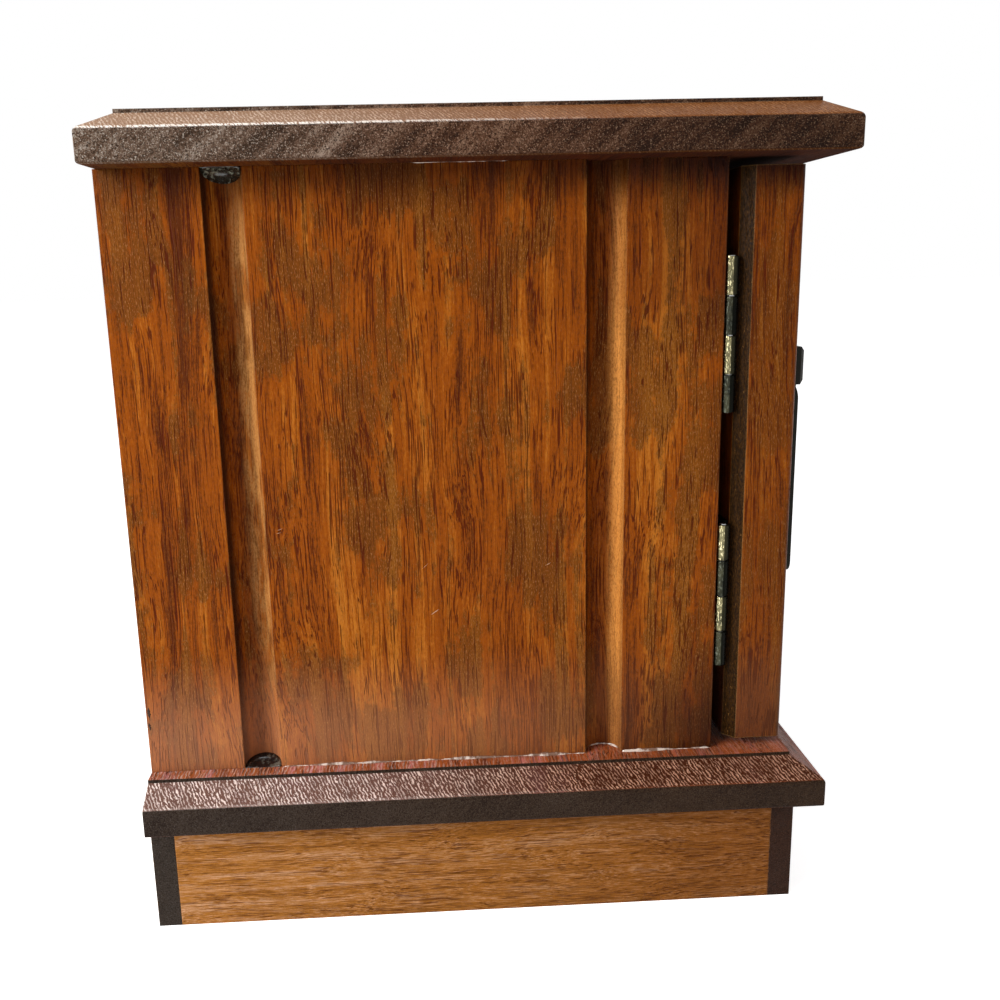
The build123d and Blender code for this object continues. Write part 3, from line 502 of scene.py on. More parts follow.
def shaded_ends(tree, colour, foot, head, shade_strip):
    """Painted light near the foot, paler at the back where light from the floor is painted and
    darker towards the front, and painted shade under the overhang of the top.
    """
    level = tree.parts(tree.position)["Z"]
    low = tree.ramp(level, *FOOT_LIGHT_AND_SHADE)
    colour = tree.lay(colour, low, 0.30, along_depth(tree, *foot))
    # Painted shade towards the front, at the foot and, where asked, in a strip below the top.
    for mask in [low, tree.ramp(level, *SHADED_STRIP)] if shade_strip else [low]:
        colour = tree.mix(mask, colour, along_depth(tree, *FRONT_SHADE), "MULTIPLY")
    # Painted shade under the overhang of the top.
    overhang_shade = tree.mix(1.0, colour, along_depth(tree, *head), "MULTIPLY")
    return tree.mix(tree.ramp(level, *UNDER_OVERHANG), colour, overhang_shade)


def wood_material(name, grain, offset, tint=1.0, body=None, streaks=1.0, patches=0.6, pores=None,
                  end=None, gloss=None, arris_colour=(0.36, 0.15, 0.05), bevel=None, shades=None,
                  arris=None, fibre=1.0, flutes=None, fineness=1.0, foot=None, head=None,
                  shade_strip=False):
    """Varnished board whose fibres run along one direction, with its cut ends and bevels."""
    look = bpy.context.scene.box_wood
    tree = new_material(name)
    grain_position = turned_position(tree, grain, offset)
    if fineness != 1.0:
        grain_position = tree.scaled(grain_position, fineness)
    main = body or look.body
    tones = {label: rgba([main[i] * colour[i] / look.body[i] for i in range(3)], tint)
             for label, colour in (("Dark", look.dark), ("Body", look.body),
                                   ("Bright", look.bright))}
    wood = tree.use("Varnished hardwood", Position=grain_position, Streaks=streaks, Fibre=fibre,
                    Patches=patches, Pores=pores or look.pores, Gloss=gloss or look.gloss, **tones)
    dark, light, glare, bands = end or (look.end_dark, look.end_body, look.end_light, 0.3)
    cut = tree.use("Cut end grain", Position=grain_position, Dark=dark, Body=light, Light=glare,
                   Bands=bands)
    facing = tree.maths("ABSOLUTE", tree.parts(tree.normal)[grain])
    rise = tree.parts(tree.normal)["Z"]
    end_mask = tree.ramp(facing, 0.70, 0.88)
    colour = wood["Colour"]
    if flutes:
        colour = lit_and_shaded_flutes(tree, colour, *flutes)
    if head:
        colour = shaded_ends(tree, colour, foot, head, shade_strip)
    colour = tree.mix(end_mask, colour, cut["Colour"])
    # Painted light falloff: the colour is multiplied along the depth, lighter at the back where the
    # key lamp stands and darker towards the front.
    if shades:
        colour = tree.mix(1.0, colour, along_depth(tree, *shades), "MULTIPLY")
    height = tree.mix(end_mask, wood["Height"], cut["Height"])
    if bevel:
        front_ground, back_ground, front_shine, back_shine, rim, on_ledge = bevel
        slope = tree.times(tree.ramp(facing, 0.16, 0.34), tree.ramp(facing, 0.86, 0.70))
        flat = tree.times(tree.ramp(rise, 0.96, 0.99), on_ledge)
        strokes = tree.use("Slanting strokes", Position=grain_position)
        # Painted sheen: the bevel's ground and strokes turn paler towards the back, where the key
        # lamp's sheen is painted; the shine colour also paints it on the flat ledge.
        ground = tree.mix(side_light(tree, -30.0, 60.0), front_ground, back_ground)
        shine = tree.mix(side_light(tree, -30.0, 60.0), front_shine, back_shine)
        ground = tree.mix(strokes["Mask"], ground, shine)
        colour = tree.mix(tree.times(flat, strokes["Mask"]), colour, shine)
        colour = tree.lay(colour, slope, 0.92, ground)
        height = tree.mix(slope, height, strokes["Height"])
        # Painted highlight: a whitish line along the arris above the bevel, strongest towards the
        # back.
        arris_highlight = tree.times(tree.ramp(facing, 0.56, 0.66), tree.ramp(facing, 0.90, 0.78),
                          side_light(tree, -35.0, 50.0), tree.ramp(rise, 0.2, 0.4),
                          tree.ramp(strokes["Height"], 0.40, 0.54, 0.05, rim))
        colour = tree.mix(arris_highlight, colour, (0.86, 0.80, 0.74))
    # Painted shade: faces that look downwards, such as the underside of the top's overhang, are
    # darkened.
    below = tree.ramp(rise, -0.30, -0.75)
    colour = tree.lay(colour, below, 0.68, (0.012, 0.004, 0.002))
    if arris:
        colour = rubbed_chamfer(tree, colour, *arris)
    wear = tree.use("Worn arris", Position=tree.position, Width=0.0005)
    grime = tree.use("Smudges and dust", Position=tree.position, Amount=0.6)
    # On the door stiles the unbroken pale line along every arris is a painted highlight; on other
    # boards the broken mask is wear.
    highlight_and_wear = tree.times(wear["Edge"], 0.8) if arris else wear["Mask"]
    colour = tree.lay(colour, highlight_and_wear, 0.5, arris_colour)
    colour = tree.lay(colour, grime["Dust"], 0.12, (0.5, 0.42, 0.34))
    rough = tree.plus(wood["Roughness"], end_mask, 0.10, grime["Smudge"], 0.10, below, 0.65)
    return finish_surface(tree, colour, rough, height, BUMP_DEPTH, wear["Normal"],
                          Specular_IOR_Level=0.06)


def lit_and_shaded_barrel(tree, colour, glint, shadow):
    """Painted highlight: bright glints on the side of a hinge's barrel that faces the key lamp, and
    painted shade on the side towards the door.
    """
    turned = tree.parts(tree.normal)["Y"]
    glint_spots = tree.ramp(tree.noise(tree.position, (3.6, 3.6, 0.9), 2.0, 0.6), 0.56, 0.62)
    highlight_and_wear = tree.times(tree.ramp(turned, 0.10, 0.28), tree.ramp(turned, 0.98, 0.85))
    colour = tree.mix(tree.times(glint_spots, highlight_and_wear), colour, glint)
    return tree.mix(tree.ramp(turned, 0.16, -0.04, 0.0, 0.90), colour, shadow)


def metal_material(name, clean, tarnished, amount, polish, metallic=1.0, depth=0.00004,
                   soften=0.0003, shine=0.5, flank=0.0, glint=None):
    """Metal cleaned and tarnished in clouds; flank paints a dark reflection on what turns away from
    the eye.
    """
    tree = new_material(name)
    metal = tree.use("Tarnished metal", Position=tree.position, Clean=clean, Tarnished=tarnished,
                     Amount=amount, Polish=polish)
    wear = tree.use("Worn arris", Position=tree.position, Width=soften)
    colour = tree.lay(metal["Colour"], wear["Mask"], 0.5, rgba(clean, 1.15))
    if flank:
        # Painted dark reflection, in a darkened tarnish colour.
        turned = tree.add("ShaderNodeLayerWeight", {"Blend": 0.5, "Normal": wear["Normal"]})
        away = tree.ramp(turned.outputs["Facing"], 0.04, 0.34, 0.0, flank)
        colour = tree.mix(away, colour, rgba(tarnished, 0.35))
    if glint:
        colour = lit_and_shaded_barrel(tree, colour, glint, rgba(tarnished, 0.22))
    return finish_surface(tree, colour, metal["Roughness"], metal["Height"], depth,
                          wear["Normal"], Metallic=metallic, Specular_IOR_Level=shine)


def velvet_material(name, colour):
    """Short pile: soft brushed areas, fine fibres and a pale sheen at the edges."""
    tree = new_material(name)
    brushed = tree.noise(tree.position, (0.05, 0.08, 0.05), 4.0, 0.6)
    pile = tree.noise(tree.position, 5.5)
    tone = tree.mix(tree.ramp(brushed, 0.35, 0.65), rgba(colour, 0.55), rgba(colour, 1.35))
    tone = tree.mix(tree.ramp(pile, 0.45, 0.75, 0.0, 0.5), tone, rgba(colour, 2.2))
    rough = tree.ramp(brushed, 0.3, 0.7, 0.78, 0.92)
    return finish_surface(tree, tone, rough, pile, 0.0004, Specular_IOR_Level=0.2,
                          Sheen_Weight=0.5, Sheen_Roughness=0.4, Sheen_Tint=rgba(colour, 3.0))


def plastic_material(name, colour):
    """Moulded plastic, smudged and dusty."""
    tree = new_material(name)
    grime = tree.use("Smudges and dust", Position=tree.position, Amount=0.8)
    grit = tree.noise(tree.position, 4.0)
    tone = tree.mix(tree.times(grime["Smudge"], 0.4), colour, rgba(colour, 1.8))
    tone = tree.lay(tone, grime["Dust"], 0.3, (0.4, 0.38, 0.35))
    rough = tree.plus(0.42, grime["Smudge"], 0.2)
    return finish_surface(tree, tone, rough, grit, 0.00006)


def clouded_material(name, cloud, tones, deep, pale, gloss, depth, **sockets):
    """Two shades and two kinds of gloss that follow one noise, for small added things."""
    tree = new_material(name)
    haze = tree.noise(tree.position, *cloud)
    tone = tree.mix(tree.ramp(haze, *tones), deep, pale)
    return finish_surface(tree, tone, tree.ramp(haze, 0.3, 0.7, *gloss), haze, depth, **sockets)


def pair(*names):
    return [f"{name}_{side}" for name in names for side in ("left", "right")]


def dress(material, *names):
    """Gives parts of the frame a finish."""
    for name in names:
        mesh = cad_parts[name].data
        mesh.materials.clear()
        mesh.materials.append(material)


def new_piece(name, builder, material, body):
    """Makes a smooth object from a filled bmesh, and lets it ride on a body."""
    mesh = bpy.data.meshes.new(name)
    builder.normal_update()
    builder.to_mesh(mesh)
    builder.free()
    for face in mesh.polygons:
        face.use_smooth = True
    piece = bpy.data.objects.new(name, mesh)
    bpy.context.scene.collection.objects.link(piece)
    mesh.materials.append(material)
    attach(piece, body)
    return piece


def wall_piece(name, builder, material):
    """Makes a piece on the case, with the normals of its faces turned outwards."""
    bmesh.ops.recalc_face_normals(builder, faces=builder.faces)
    new_piece(name, builder, material, "case")


def screw_head(mesh, place, outward, radius, rise, crossed=True):
    """Revolved head with a shallow dome and one groove or two crossing ones."""
    count = 32
    across = Vector((1, 0, 0))
    upward = outward.cross(across)
    loops = []
    for share, height in ((0.0, 1.0), (0.30, 0.95), (0.60, 0.79), (0.87, 0.48), (1.0, 0.14),
                          (1.0, -0.48)):
        loop = []
        for k in range(count if share else 1):
            turn = math.tau * k / count
            x, y = share * math.cos(turn), share * math.sin(turn)
            from_groove = min(abs(x), abs(y)) if crossed else abs(x)
            grooved = from_groove < 0.15 and share < 0.67
            lift = height - (0.6 if grooved or not share else 0.0)
            loop.append(mesh.verts.new(place + (across * x + upward * y) * radius
                                       + outward * lift * rise))
        loops.append(loop)
    close_rings(mesh, loops)
    mesh.faces.new(loops[-1][::-1])


def close_rings(mesh, loops):
    """Faces between neighbouring rings of one length, or between a ring and a point."""
    for inner, outer in zip(loops, loops[1:]):
        count = max(len(inner), len(outer))
        for k in range(count):
            after = (k + 1) % count
            if len(inner) == 1:
                mesh.faces.new([inner[0], outer[k], outer[after]])
            elif len(outer) == 1:
                mesh.faces.new([inner[k], outer[0], inner[after]])
            else:
                mesh.faces.new([inner[k], outer[k], outer[after], inner[after]])


def smoothed(value):
    value = max(0.0, min(1.0, value))
    return value * value * (3 - 2 * value)


class BoardsOperator(bpy.types.Operator):
    """Finish the walls, partitions, dividers and back with wood grain"""
    bl_idname = "jewelrybox.boards"
    bl_label = "Case boards"

    def execute(self, context):
        wall = wood_material("Side wall wood", "Z", (95.0, 40.0, 12.0), patches=0.85,
                             # Painted highlight on each flute's forward side, and painted shade in
                             # its corner.
                             flutes=(((0.33, 0.145, 0.040), -0.22, 0.25, 0.15),
                                     ((0.445, 0.176, 0.037), 0.16, 0.85, 1.0)),
                             # Painted light from the floor at the back of the foot, painted shade
                             # towards the front of the foot, and painted shade under the top.
                             foot=((0.58, 0.27, 0.15), (0.43, 0.175, 0.080), (0.02, 0.006, 0.002)),
                             head=((0.62, 0.62, 0.70), (0.52, 0.48, 0.50), (0.16, 0.12, 0.08)),
                             shade_strip=True)
        inner = wood_material("Inner board wood", "Z", (31.0, 77.0, 5.0), tint=0.85, patches=0.4)
        shelf = wood_material("Divider wood", "X", (18.0, 9.0, 44.0), tint=0.85, patches=0.4)
        back = wood_material("Back board wood", "Z", (11.0, 63.0, 25.0), streaks=0.8,
                             body=(0.20, 0.055, 0.008), patches=0.3, gloss=0.50)
        dress(wall, *pair("side_wall"))
        dress(inner, *pair("partition"))
        dress(shelf, "drawer_divider_lower", "drawer_divider_upper")
        dress(back, "back_panel")
        return {"FINISHED"}


class MouldedBoardsOperator(bpy.types.Operator):
    """Finish the top and the base, whose ends show dark speckled end grain"""
    bl_idname = "jewelrybox.moulded_boards"
    bl_label = "Top and base"

    def execute(self, context):
        look = context.scene.box_wood
        # The top's falloff paints a grey sheen on its back half and shade towards the front; its
        # bevel colours paint the sheen and the arris highlight.
        top = wood_material("Top board wood", "X", (-120.0, 14.0, 30.0), tint=0.9,
                            end=(look.end_dark, look.end_body, look.end_light, 1.15),
                            bevel=((0.16, 0.052, 0.010), (0.28, 0.160, 0.092),
                                   (0.36, 0.17, 0.07), (0.60, 0.46, 0.36), 0.95, 0.0),
                            arris_colour=(0.42, 0.30, 0.21),
                            shades=((1.15, 1.25, 1.30), (0.78, 0.60, 0.48), (0.45, 0.33, 0.24)))
        # The base's falloff darkens it all over as painted shade, greyer at the back and deepest at
        # the front.
        base = wood_material("Base board wood", "X", (-70.0, 55.0, 8.0), body=(0.70, 0.182, 0.042),
                             streaks=0.75, pores=0.8, patches=0.5,
                             end=((0.022, 0.010, 0.005), (0.058, 0.036, 0.023),
                                  (0.16, 0.12, 0.09), 0.3),
                             bevel=((0.032, 0.006, 0.001), (0.125, 0.064, 0.050),
                                    (0.52, 0.29, 0.19), (0.84, 0.71, 0.65), 0.15, 0.36),
                             arris_colour=(0.10, 0.06, 0.04),
                             shades=((0.52, 0.54, 0.58), (0.50, 0.46, 0.42), (0.45, 0.36, 0.27)))
        dress(top, "top_board")
        dress(base, "base_board")
        return {"FINISHED"}


class PlinthOperator(bpy.types.Operator):
    """Finish the plinth boards, paler at the sides and dark at the ends"""
    bl_idname = "jewelrybox.plinth"
    bl_label = "Plinth"

    def execute(self, context):
        look = context.scene.box_wood
        # The plinth's falloff paints shade that deepens towards the front.
        side = wood_material("Plinth side wood", "Y", (20.0, 35.0, 0.0), body=look.plinth,
                             streaks=0.55, patches=0.15, pores=0.7, gloss=0.42, fibre=2.4,
                             fineness=1.6,
                             shades=((1.0, 1.0, 1.05), (0.84, 0.80, 0.75), (0.60, 0.50, 0.38)))
        front = wood_material("Plinth front wood", "X", (52.0, 26.0, 70.0), tint=0.9,
                              end=((0.020, 0.012, 0.008), (0.050, 0.034, 0.026),
                                   (0.11, 0.09, 0.075), 0.2),
                              shades=((0.62, 0.64, 0.62), (0.62, 0.50, 0.45), (0.62, 0.36, 0.25)))
        dress(side, *pair("plinth_side"))
        dress(front, "plinth_front", "plinth_back")
        return {"FINISHED"}


class DoorsOperator(bpy.types.Operator):
    """Finish the framed doors and their raised panels"""
    bl_idname = "jewelrybox.doors"
    bl_label = "Doors"

    def execute(self, context):
        # The stiles' pale arris line is a painted highlight; foot and head paint shade at the front
        # of the foot and under the top.
        stile = wood_material("Stile wood", "Z", (64.0, 12.0, 90.0), tint=0.80, patches=0.55,
                              arris=((0.024, 0.009, 0.001), (0.34, 0.18, 0.06)),
                              arris_colour=(0.50, 0.28, 0.10),
                              foot=((1.0, 1.0, 1.0), (1.0, 1.0, 1.0), (0.37, 0.15, 0.06)),
                              head=((0.50, 0.50, 0.50), (0.50, 0.50, 0.50), (0.18, 0.13, 0.09)))
        rail = wood_material("Rail wood", "X", (5.0, 88.0, 31.0), tint=0.85, patches=0.5)
        panel = wood_material("Panel wood", "Z", (150.0, 21.0, 60.0), patches=0.3)
        dress(stile, *pair("door_stiles"))
        dress(rail, *pair("door_rails"))
        dress(panel, *pair("door_panel"))
        return {"FINISHED"}


class HingesOperator(bpy.types.Operator):
    """Finish the butt hinges and add the screws in their leaves"""
    bl_idname = "jewelrybox.hinges"
    bl_label = "Hinges"

    def execute(self, context):
        look = context.scene.box_metal
        # The wall's leaves are a lit copy of the brass with painted glints; the door's leaves are a
        # darker copy, partly tarnish and partly painted shade, with a thin painted highlight line.
        bright = metal_material("Lit lacquered hinge brass", look.hinge, look.tarnish, 0.35, 0.18,
                                soften=0.0008, flank=0.6, glint=(0.86, 0.77, 0.46))
        dull = metal_material("Shaded tarnished hinge brass", look.tarnish, (0.014, 0.015, 0.012), 0.5,
                              0.20, soften=0.0008, flank=0.6, glint=(0.12, 0.13, 0.10))
        steel = metal_material("Pin steel", look.steel, (0.16, 0.15, 0.13), 0.4, 0.25)
        dress(steel, "hinge_pins")
        dress(bright, *pair("hinge_leaves_wall"))
        dress(dull, *pair("hinge_leaves_door"))
        for side, sign in (("left", -1), ("right", 1)):
            self.add_screws(side, sign, bright)
        return {"FINISHED"}

    def add_screws(self, side, sign, material):
        """Low domed heads with a cross slot, three in each leaf."""
        x = sign * (abs(SIDE_X) - HINGE_SCREW_FROM_SIDE * MM)
        length = HINGE_LENGTH * MM
        for part, body, facing in (("wall", "case", -1), ("door", f"door_{side}", 1)):
            low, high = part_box(f"hinge_leaves_{part}_{side}")
            face = (high if part == "wall" else low).y + facing * HINGE_LEAF * MM
            heads = bmesh.new()
            for start in (low.z, high.z - length):
                for share in (0.17, 0.5, 0.83):
                    place = Vector((x, face, start + share * length))
                    screw_head(heads, place, Vector((0, facing, 0)), 1.5 * MM, 0.42 * MM)
            new_piece(f"hinge_screws_{part}_{side}", heads, material, body)


class PullsOperator(bpy.types.Operator):
    """Finish the near-black door pulls with their hanging drops"""
    bl_idname = "jewelrybox.pulls"
    bl_label = "Door pulls"

    def execute(self, context):
        look = context.scene.box_metal
        black = metal_material("Near-black pull metal", look.pull, (0.016, 0.014, 0.010), 0.4, 0.42,
                               metallic=0.0, depth=0.00008, shine=0.10)
        dress(black, *pair("pull_post", "pull_drop"))
        return {"FINISHED"}


class DrawersOperator(bpy.types.Operator):
    """Finish the drawers' fronts, boxes, bottoms and turned knobs"""
    bl_idname = "jewelrybox.drawers"
    bl_label = "Drawers"

    def execute(self, context):
        look = context.scene.box_metal
        brass = metal_material("Knob brass", look.brass, look.tarnish, 0.35, 0.22)
        box = wood_material("Drawer side wood", "Y", (25.0, 60.0, 18.0), body=(0.36, 0.17, 0.055),
                            streaks=0.7, patches=0.2, pores=0.4, gloss=0.5,
                            end=((0.10, 0.05, 0.02), (0.24, 0.13, 0.06), (0.42, 0.28, 0.16), 0.4))
        bottom = wood_material("Drawer bottom wood", "X", (5.0, 12.0, 90.0), streaks=0.8,
                               body=(0.36, 0.18, 0.065), patches=0.2, pores=0.3, gloss=0.6)
        for index, name in enumerate(("lower", "middle", "upper")):
            front = wood_material(f"Drawer front wood {name}", "X",
                                  (60.0 + 33.0 * index, 5.0, 22.0), patches=0.4)
            dress(front, f"drawer_{name}_front")
            dress(box, f"drawer_{name}_box")
            dress(bottom, f"drawer_{name}_bottom")
            self.turn_knob(name, brass)
        return {"FINISHED"}

    def turn_knob(self, name, material):
        """Foot, hollowed neck and rounded head, from the face of the head back to the foot."""
        node = f"drawer_{name}_knob"
        low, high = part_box(node)
        axis = (low + high) / 2
        mesh = bmesh.new()
        loops = []
        for depth, radius in KNOB_OUTLINE:
            loop = []
            for k in range(KNOB_SIDES if radius else 1):
                turn = math.tau * k / KNOB_SIDES
                loop.append(mesh.verts.new((axis.x + radius * MM * math.cos(turn),
                                            low.y + depth * MM,
                                            axis.z + radius * MM * math.sin(turn))))
            loops.append(loop)
        close_rings(mesh, loops)
        knob = new_piece(f"{node}_turned", mesh, material, f"drawer_{name}")
        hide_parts(node)


class LiningsOperator(bpy.types.Operator):
    """Line the drawers with velvet: flat pads below and ring rolls at the top"""
    bl_idname = "jewelrybox.linings"
    bl_label = "Velvet linings"

    def execute(self, context):
        look = context.scene.box_lining
        velvet = velvet_material("Drawer velvet", look.velvet)
        for body, rise, rows in (("drawer_lower", self.pad_rise, None),
                                 ("drawer_middle", self.pad_rise, None),
                                 ("drawer_upper", self.roll_rise, ROLL_ROWS)):
            piece = self.closed_sheet(body, rise, velvet, look.columns, rows)
            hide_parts(f"{body}_liner")
        return {"FINISHED"}

    def pad_rise(self, low, high, u, v):
        """Flat pad: a low crown with rounded borders and soft dimples in its pile."""
        border = PAD_BORDER * MM
        across = min(u, 1 - u) * (high.x - low.x) / border
        along = min(v, 1 - v) * (high.y - low.y) / border
        edge = smoothed(across) * smoothed(along)
        ripple = noise.noise(Vector((u * 9, v * 7, low.z * 40))) * 0.10
        crown = 0.82 + 0.18 * math.sin(math.pi * u) * math.sin(math.pi * v)
        return (high.z - low.z) * min(1.0, edge * (crown + ripple) + 0.05)

    def roll_rise(self, low, high, u, v):
        """Ring rolls side by side, each with a seam valley and a slight dip along it."""
        pitch = ROLL_PITCH * MM
        depth = high.y - low.y
        count = math.floor((depth + ROLL_GAP * MM) / pitch)
        place = (v * depth - (depth - count * pitch) / 2) / pitch
        within = abs((place % 1.0) - 0.5) * 2
        roll = math.sqrt(max(0.0, 1 - (within * 0.98) ** 2)) if 0 <= place <= count else 0.0
        ends = smoothed(min(u, 1 - u) * (high.x - low.x) / (ROLL_END * MM))
        wave = noise.noise(Vector((u * 6, math.floor(place) * 3.1, 0.5)))
        dip = 0.6 + 0.5 * wave + math.sin(math.pi * u) * 0.4
        top = high.z - low.z - bpy.context.scene.box_lining.roll_sag * dip
        base = ROLL_BASE * MM
        return base * ends + (top - base) * roll * (0.25 + 0.75 * ends)

    def closed_sheet(self, body, rise, velvet, columns, rows):
        """Grid over a flat underside, sewn together round the border."""
        low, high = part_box(f"{body}_liner")
        rows = rows or round(columns * (high.y - low.y) / (high.x - low.x))
        mesh = bmesh.new()
        top, under = [], []
        for j in range(rows + 1):
            v = j / rows
            upper_row, lower_row = [], []
            for i in range(columns + 1):
                u = i / columns
                x = low.x + (high.x - low.x) * u
                y = low.y + (high.y - low.y) * v
                upper_row.append(mesh.verts.new((x, y, low.z + rise(low, high, u, v))))
                border = i in (0, columns) or j in (0, rows)
                lower_row.append(upper_row[-1] if border else mesh.verts.new((x, y, low.z)))
            top.append(upper_row)
            under.append(lower_row)
        for j in range(rows):
            for i in range(columns):
                mesh.faces.new([top[j][i], top[j][i + 1], top[j + 1][i + 1], top[j + 1][i]])
                mesh.faces.new([under[j][i], under[j + 1][i], under[j + 1][i + 1],
                                under[j][i + 1]])
        return new_piece(f"{body}_velvet", mesh, velvet, body)


class FittingsOperator(bpy.types.Operator):
    """Finish the necklace hooks, catches and strikes"""
    bl_idname = "jewelrybox.fittings"
    bl_label = "Hooks and catches"

    def execute(self, context):
        look = context.scene.box_metal
        brass = metal_material("Hook brass", look.brass, look.tarnish, 0.3, 0.18)
        steel = metal_material("Strike steel", look.steel, (0.14, 0.12, 0.10), 0.5, 0.32)
        black = plastic_material("Catch plastic", (0.03, 0.03, 0.03))
        dress(brass, "necklace_hooks")
        dress(black, "door_catches")
        dress(steel, *pair("door_strike"))
        return {"FINISHED"}


class MovementOperator(bpy.types.Operator):
    """Finish the wind-up movement and its key"""
    bl_idname = "jewelrybox.movement"
    bl_label = "Musical movement"

    def execute(self, context):
        look = context.scene.box_metal
        brass = metal_material("Movement brass", look.brass, look.tarnish, 0.1, 0.16)
        steel = metal_material("Movement steel", look.steel, (0.2, 0.19, 0.17), 0.2, 0.2)
        blued = metal_material("Comb steel", (0.42, 0.43, 0.46), (0.12, 0.13, 0.18), 0.4, 0.18)
        plated = metal_material("Plated casting", (0.66, 0.64, 0.58), (0.30, 0.28, 0.24), 0.3, 0.30)
        black = plastic_material("Governor plastic", (0.04, 0.04, 0.045))
        dress(brass, "tune_cylinder", "cylinder_wheel", "governor_pinion", "crown_wheel",
              "winding_key")
        dress(steel, "spring_arbor", "stop_lever")
        dress(blued, "tuned_comb")
        dress(plated, "movement_bedplate", "spring_housing")
        dress(black, "governor_housing")
        self.add_screws(look, steel)
        return {"FINISHED"}

    def add_screws(self, look, material):
        """Domed heads with one slot, on the comb's land and at the corners of the bedplate."""
        comb_low, comb_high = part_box("tuned_comb")
        bed_low, bed_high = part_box("movement_bedplate")
        up = Vector((0, 0, 1))
        screws = bmesh.new()
        land = comb_high.y - look.comb_land / 2
        for share in (0.2, 0.8):
            x = comb_low.x + share * (comb_high.x - comb_low.x)
            screw_head(screws, Vector((x, land, comb_high.z)), up, look.comb_screw, 1.2 * MM, False)
        inset = look.plate_inset
        level = BASE_TOP + look.plate
        for x in (bed_low.x + inset, bed_high.x - inset):
            for y in (bed_low.y + inset, bed_high.y - inset):
                screw_head(screws, Vector((x, y, level)), up, look.plate_screw, 1.4 * MM, False)
        new_piece("movement_screws", screws, material, "case")


class GlueLinesOperator(bpy.types.Operator):
    """Add the glossy beads of glue and varnish where the wall meets the top and the base, and pools
    at the ends of a flute whose dark ones are partly painted shade
    """
    bl_idname = "jewelrybox.glue_lines"
    bl_label = "Glue lines"

    def execute(self, context):
        glue = clouded_material("Dried glue", (0.5, 3.0), (0.42, 0.62), (0.14, 0.055, 0.022),
                                (0.62, 0.50, 0.42), (0.12, 0.3), 0.0001, Coat_Weight=0.6,
                                Coat_Roughness=0.08)
        self.bead("lower_left_wall", -1, BASE_TOP, 1, 34.0, CASE_DEPTH, 0.85, 11, glue)
        self.bead("upper_left_wall", -1, CARCASS_TOP, -1, 72.0, 95.0, 0.32, 5, glue)
        self.bead("lower_right_wall", 1, BASE_TOP, 1, 0.0, CASE_DEPTH, 0.50, 23, glue)
        # The dark pools are partly varnish and partly painted shade in the ends of the flute; the
        # pale one is hanging varnish.
        dark, pale = (clouded_material(name, (0.7, 3.0, 0.6), (0.50, 0.68), deep, dried,
                                       (0.08, 0.25), 0.0002, Coat_Weight=0.4, Coat_Roughness=0.05)
                      for name, deep, dried in (
                          ("Dark varnish and painted shade", (0.006, 0.005, 0.005), (0.10, 0.09, 0.07)),
                          ("Hanging varnish", (0.016, 0.015, 0.010), (0.24, 0.25, 0.19))))
        self.pool("foot", BASE_TOP, 1, 1.2, 1.0, dark)
        self.pool("head", CARCASS_TOP, -1, 2.3, 0.97, pale)
        self.pool("drop", CARCASS_TOP, -1, 1.4, 1.0, dark)
        return {"FINISHED"}

    def pool(self, name, level, up, size, spread, material):
        """Half-round pool at an end of the rear flute, deepest against the flute's bottom."""
        mesh = bmesh.new()
        centre = Vector((SIDE_X, BACK_Y - FLUTES[0] * MM, level))
        steps = 24
        rings = []
        for share, rise in ((0.0, 0.15), (0.55, 0.2), (0.85, 0.6), (0.99, 1.5), (0.99, -0.05)):
            ring = []
            for k in range(steps + 1):
                angle = math.pi * k / steps - math.pi / 2
                reach = FLUTE_RADIUS * share * spread * MM
                tall = rise * size * (math.cos(angle) ** 0.7 if rise > 0 else 1.0)
                ring.append(mesh.verts.new(centre + Vector((reach * math.cos(angle),
                                                            reach * math.sin(angle),
                                                            up * (tall + 0.02) * MM))))
            rings.append(ring)
        for inner, outer in zip(rings, rings[1:]):
            for k in range(steps):
                mesh.faces.new([inner[k], outer[k], outer[k + 1], inner[k + 1]])
        bmesh.ops.remove_doubles(mesh, verts=mesh.verts, dist=1e-7)
        bmesh.ops.holes_fill(mesh, edges=mesh.edges)
        wall_piece(f"varnish_and_shade_pool_left_flute_{name}", mesh, material)

    def bead(self, name, sign, level, up, start, end, size, seed, material):
        """Quarter-round bead of uneven width that follows the wall's foot into its flutes."""
        mesh = bmesh.new()
        steps = int((end - start) / 0.6)
        rings = []
        for k in range(steps + 1):
            along = start + (end - start) * k / steps
            inset = 0.0
            for flute in FLUTES:
                reach = FLUTE_RADIUS ** 2 - (along - flute) ** 2
                inset = max(inset, math.sqrt(reach) if reach > 0 else 0.0)
            swell = 0.45 + 0.55 * noise.noise(Vector((along * 0.16, seed, 0.3)))
            fine = noise.noise(Vector((along * 0.9, seed, 2.7))) * 0.25
            tail = min(1.0, (k + 0.2) / 3, (steps - k + 0.2) / 3)
            width = size * max(0.06, swell + fine) * tail
            ring = []
            for corner in range(5):
                angle = math.pi / 2 * corner / 4
                out = width * (1 - math.sin(angle)) ** 0.8
                rise = width * (1 - math.cos(angle)) ** 0.8
                x = SIDE_X * -sign + sign * (out - inset) * MM
                ring.append(mesh.verts.new((x, BACK_Y - along * MM, level + up * rise * MM)))
            x = SIDE_X * -sign - sign * (inset + 0.1) * MM
            ring.append(mesh.verts.new((x, BACK_Y - along * MM, level - up * 0.02 * MM)))
            rings.append(ring)
        close_rings(mesh, rings)
        mesh.faces.new(rings[0])
        mesh.faces.new(rings[-1])
        wall_piece(f"glue_line_{name}", mesh, material)


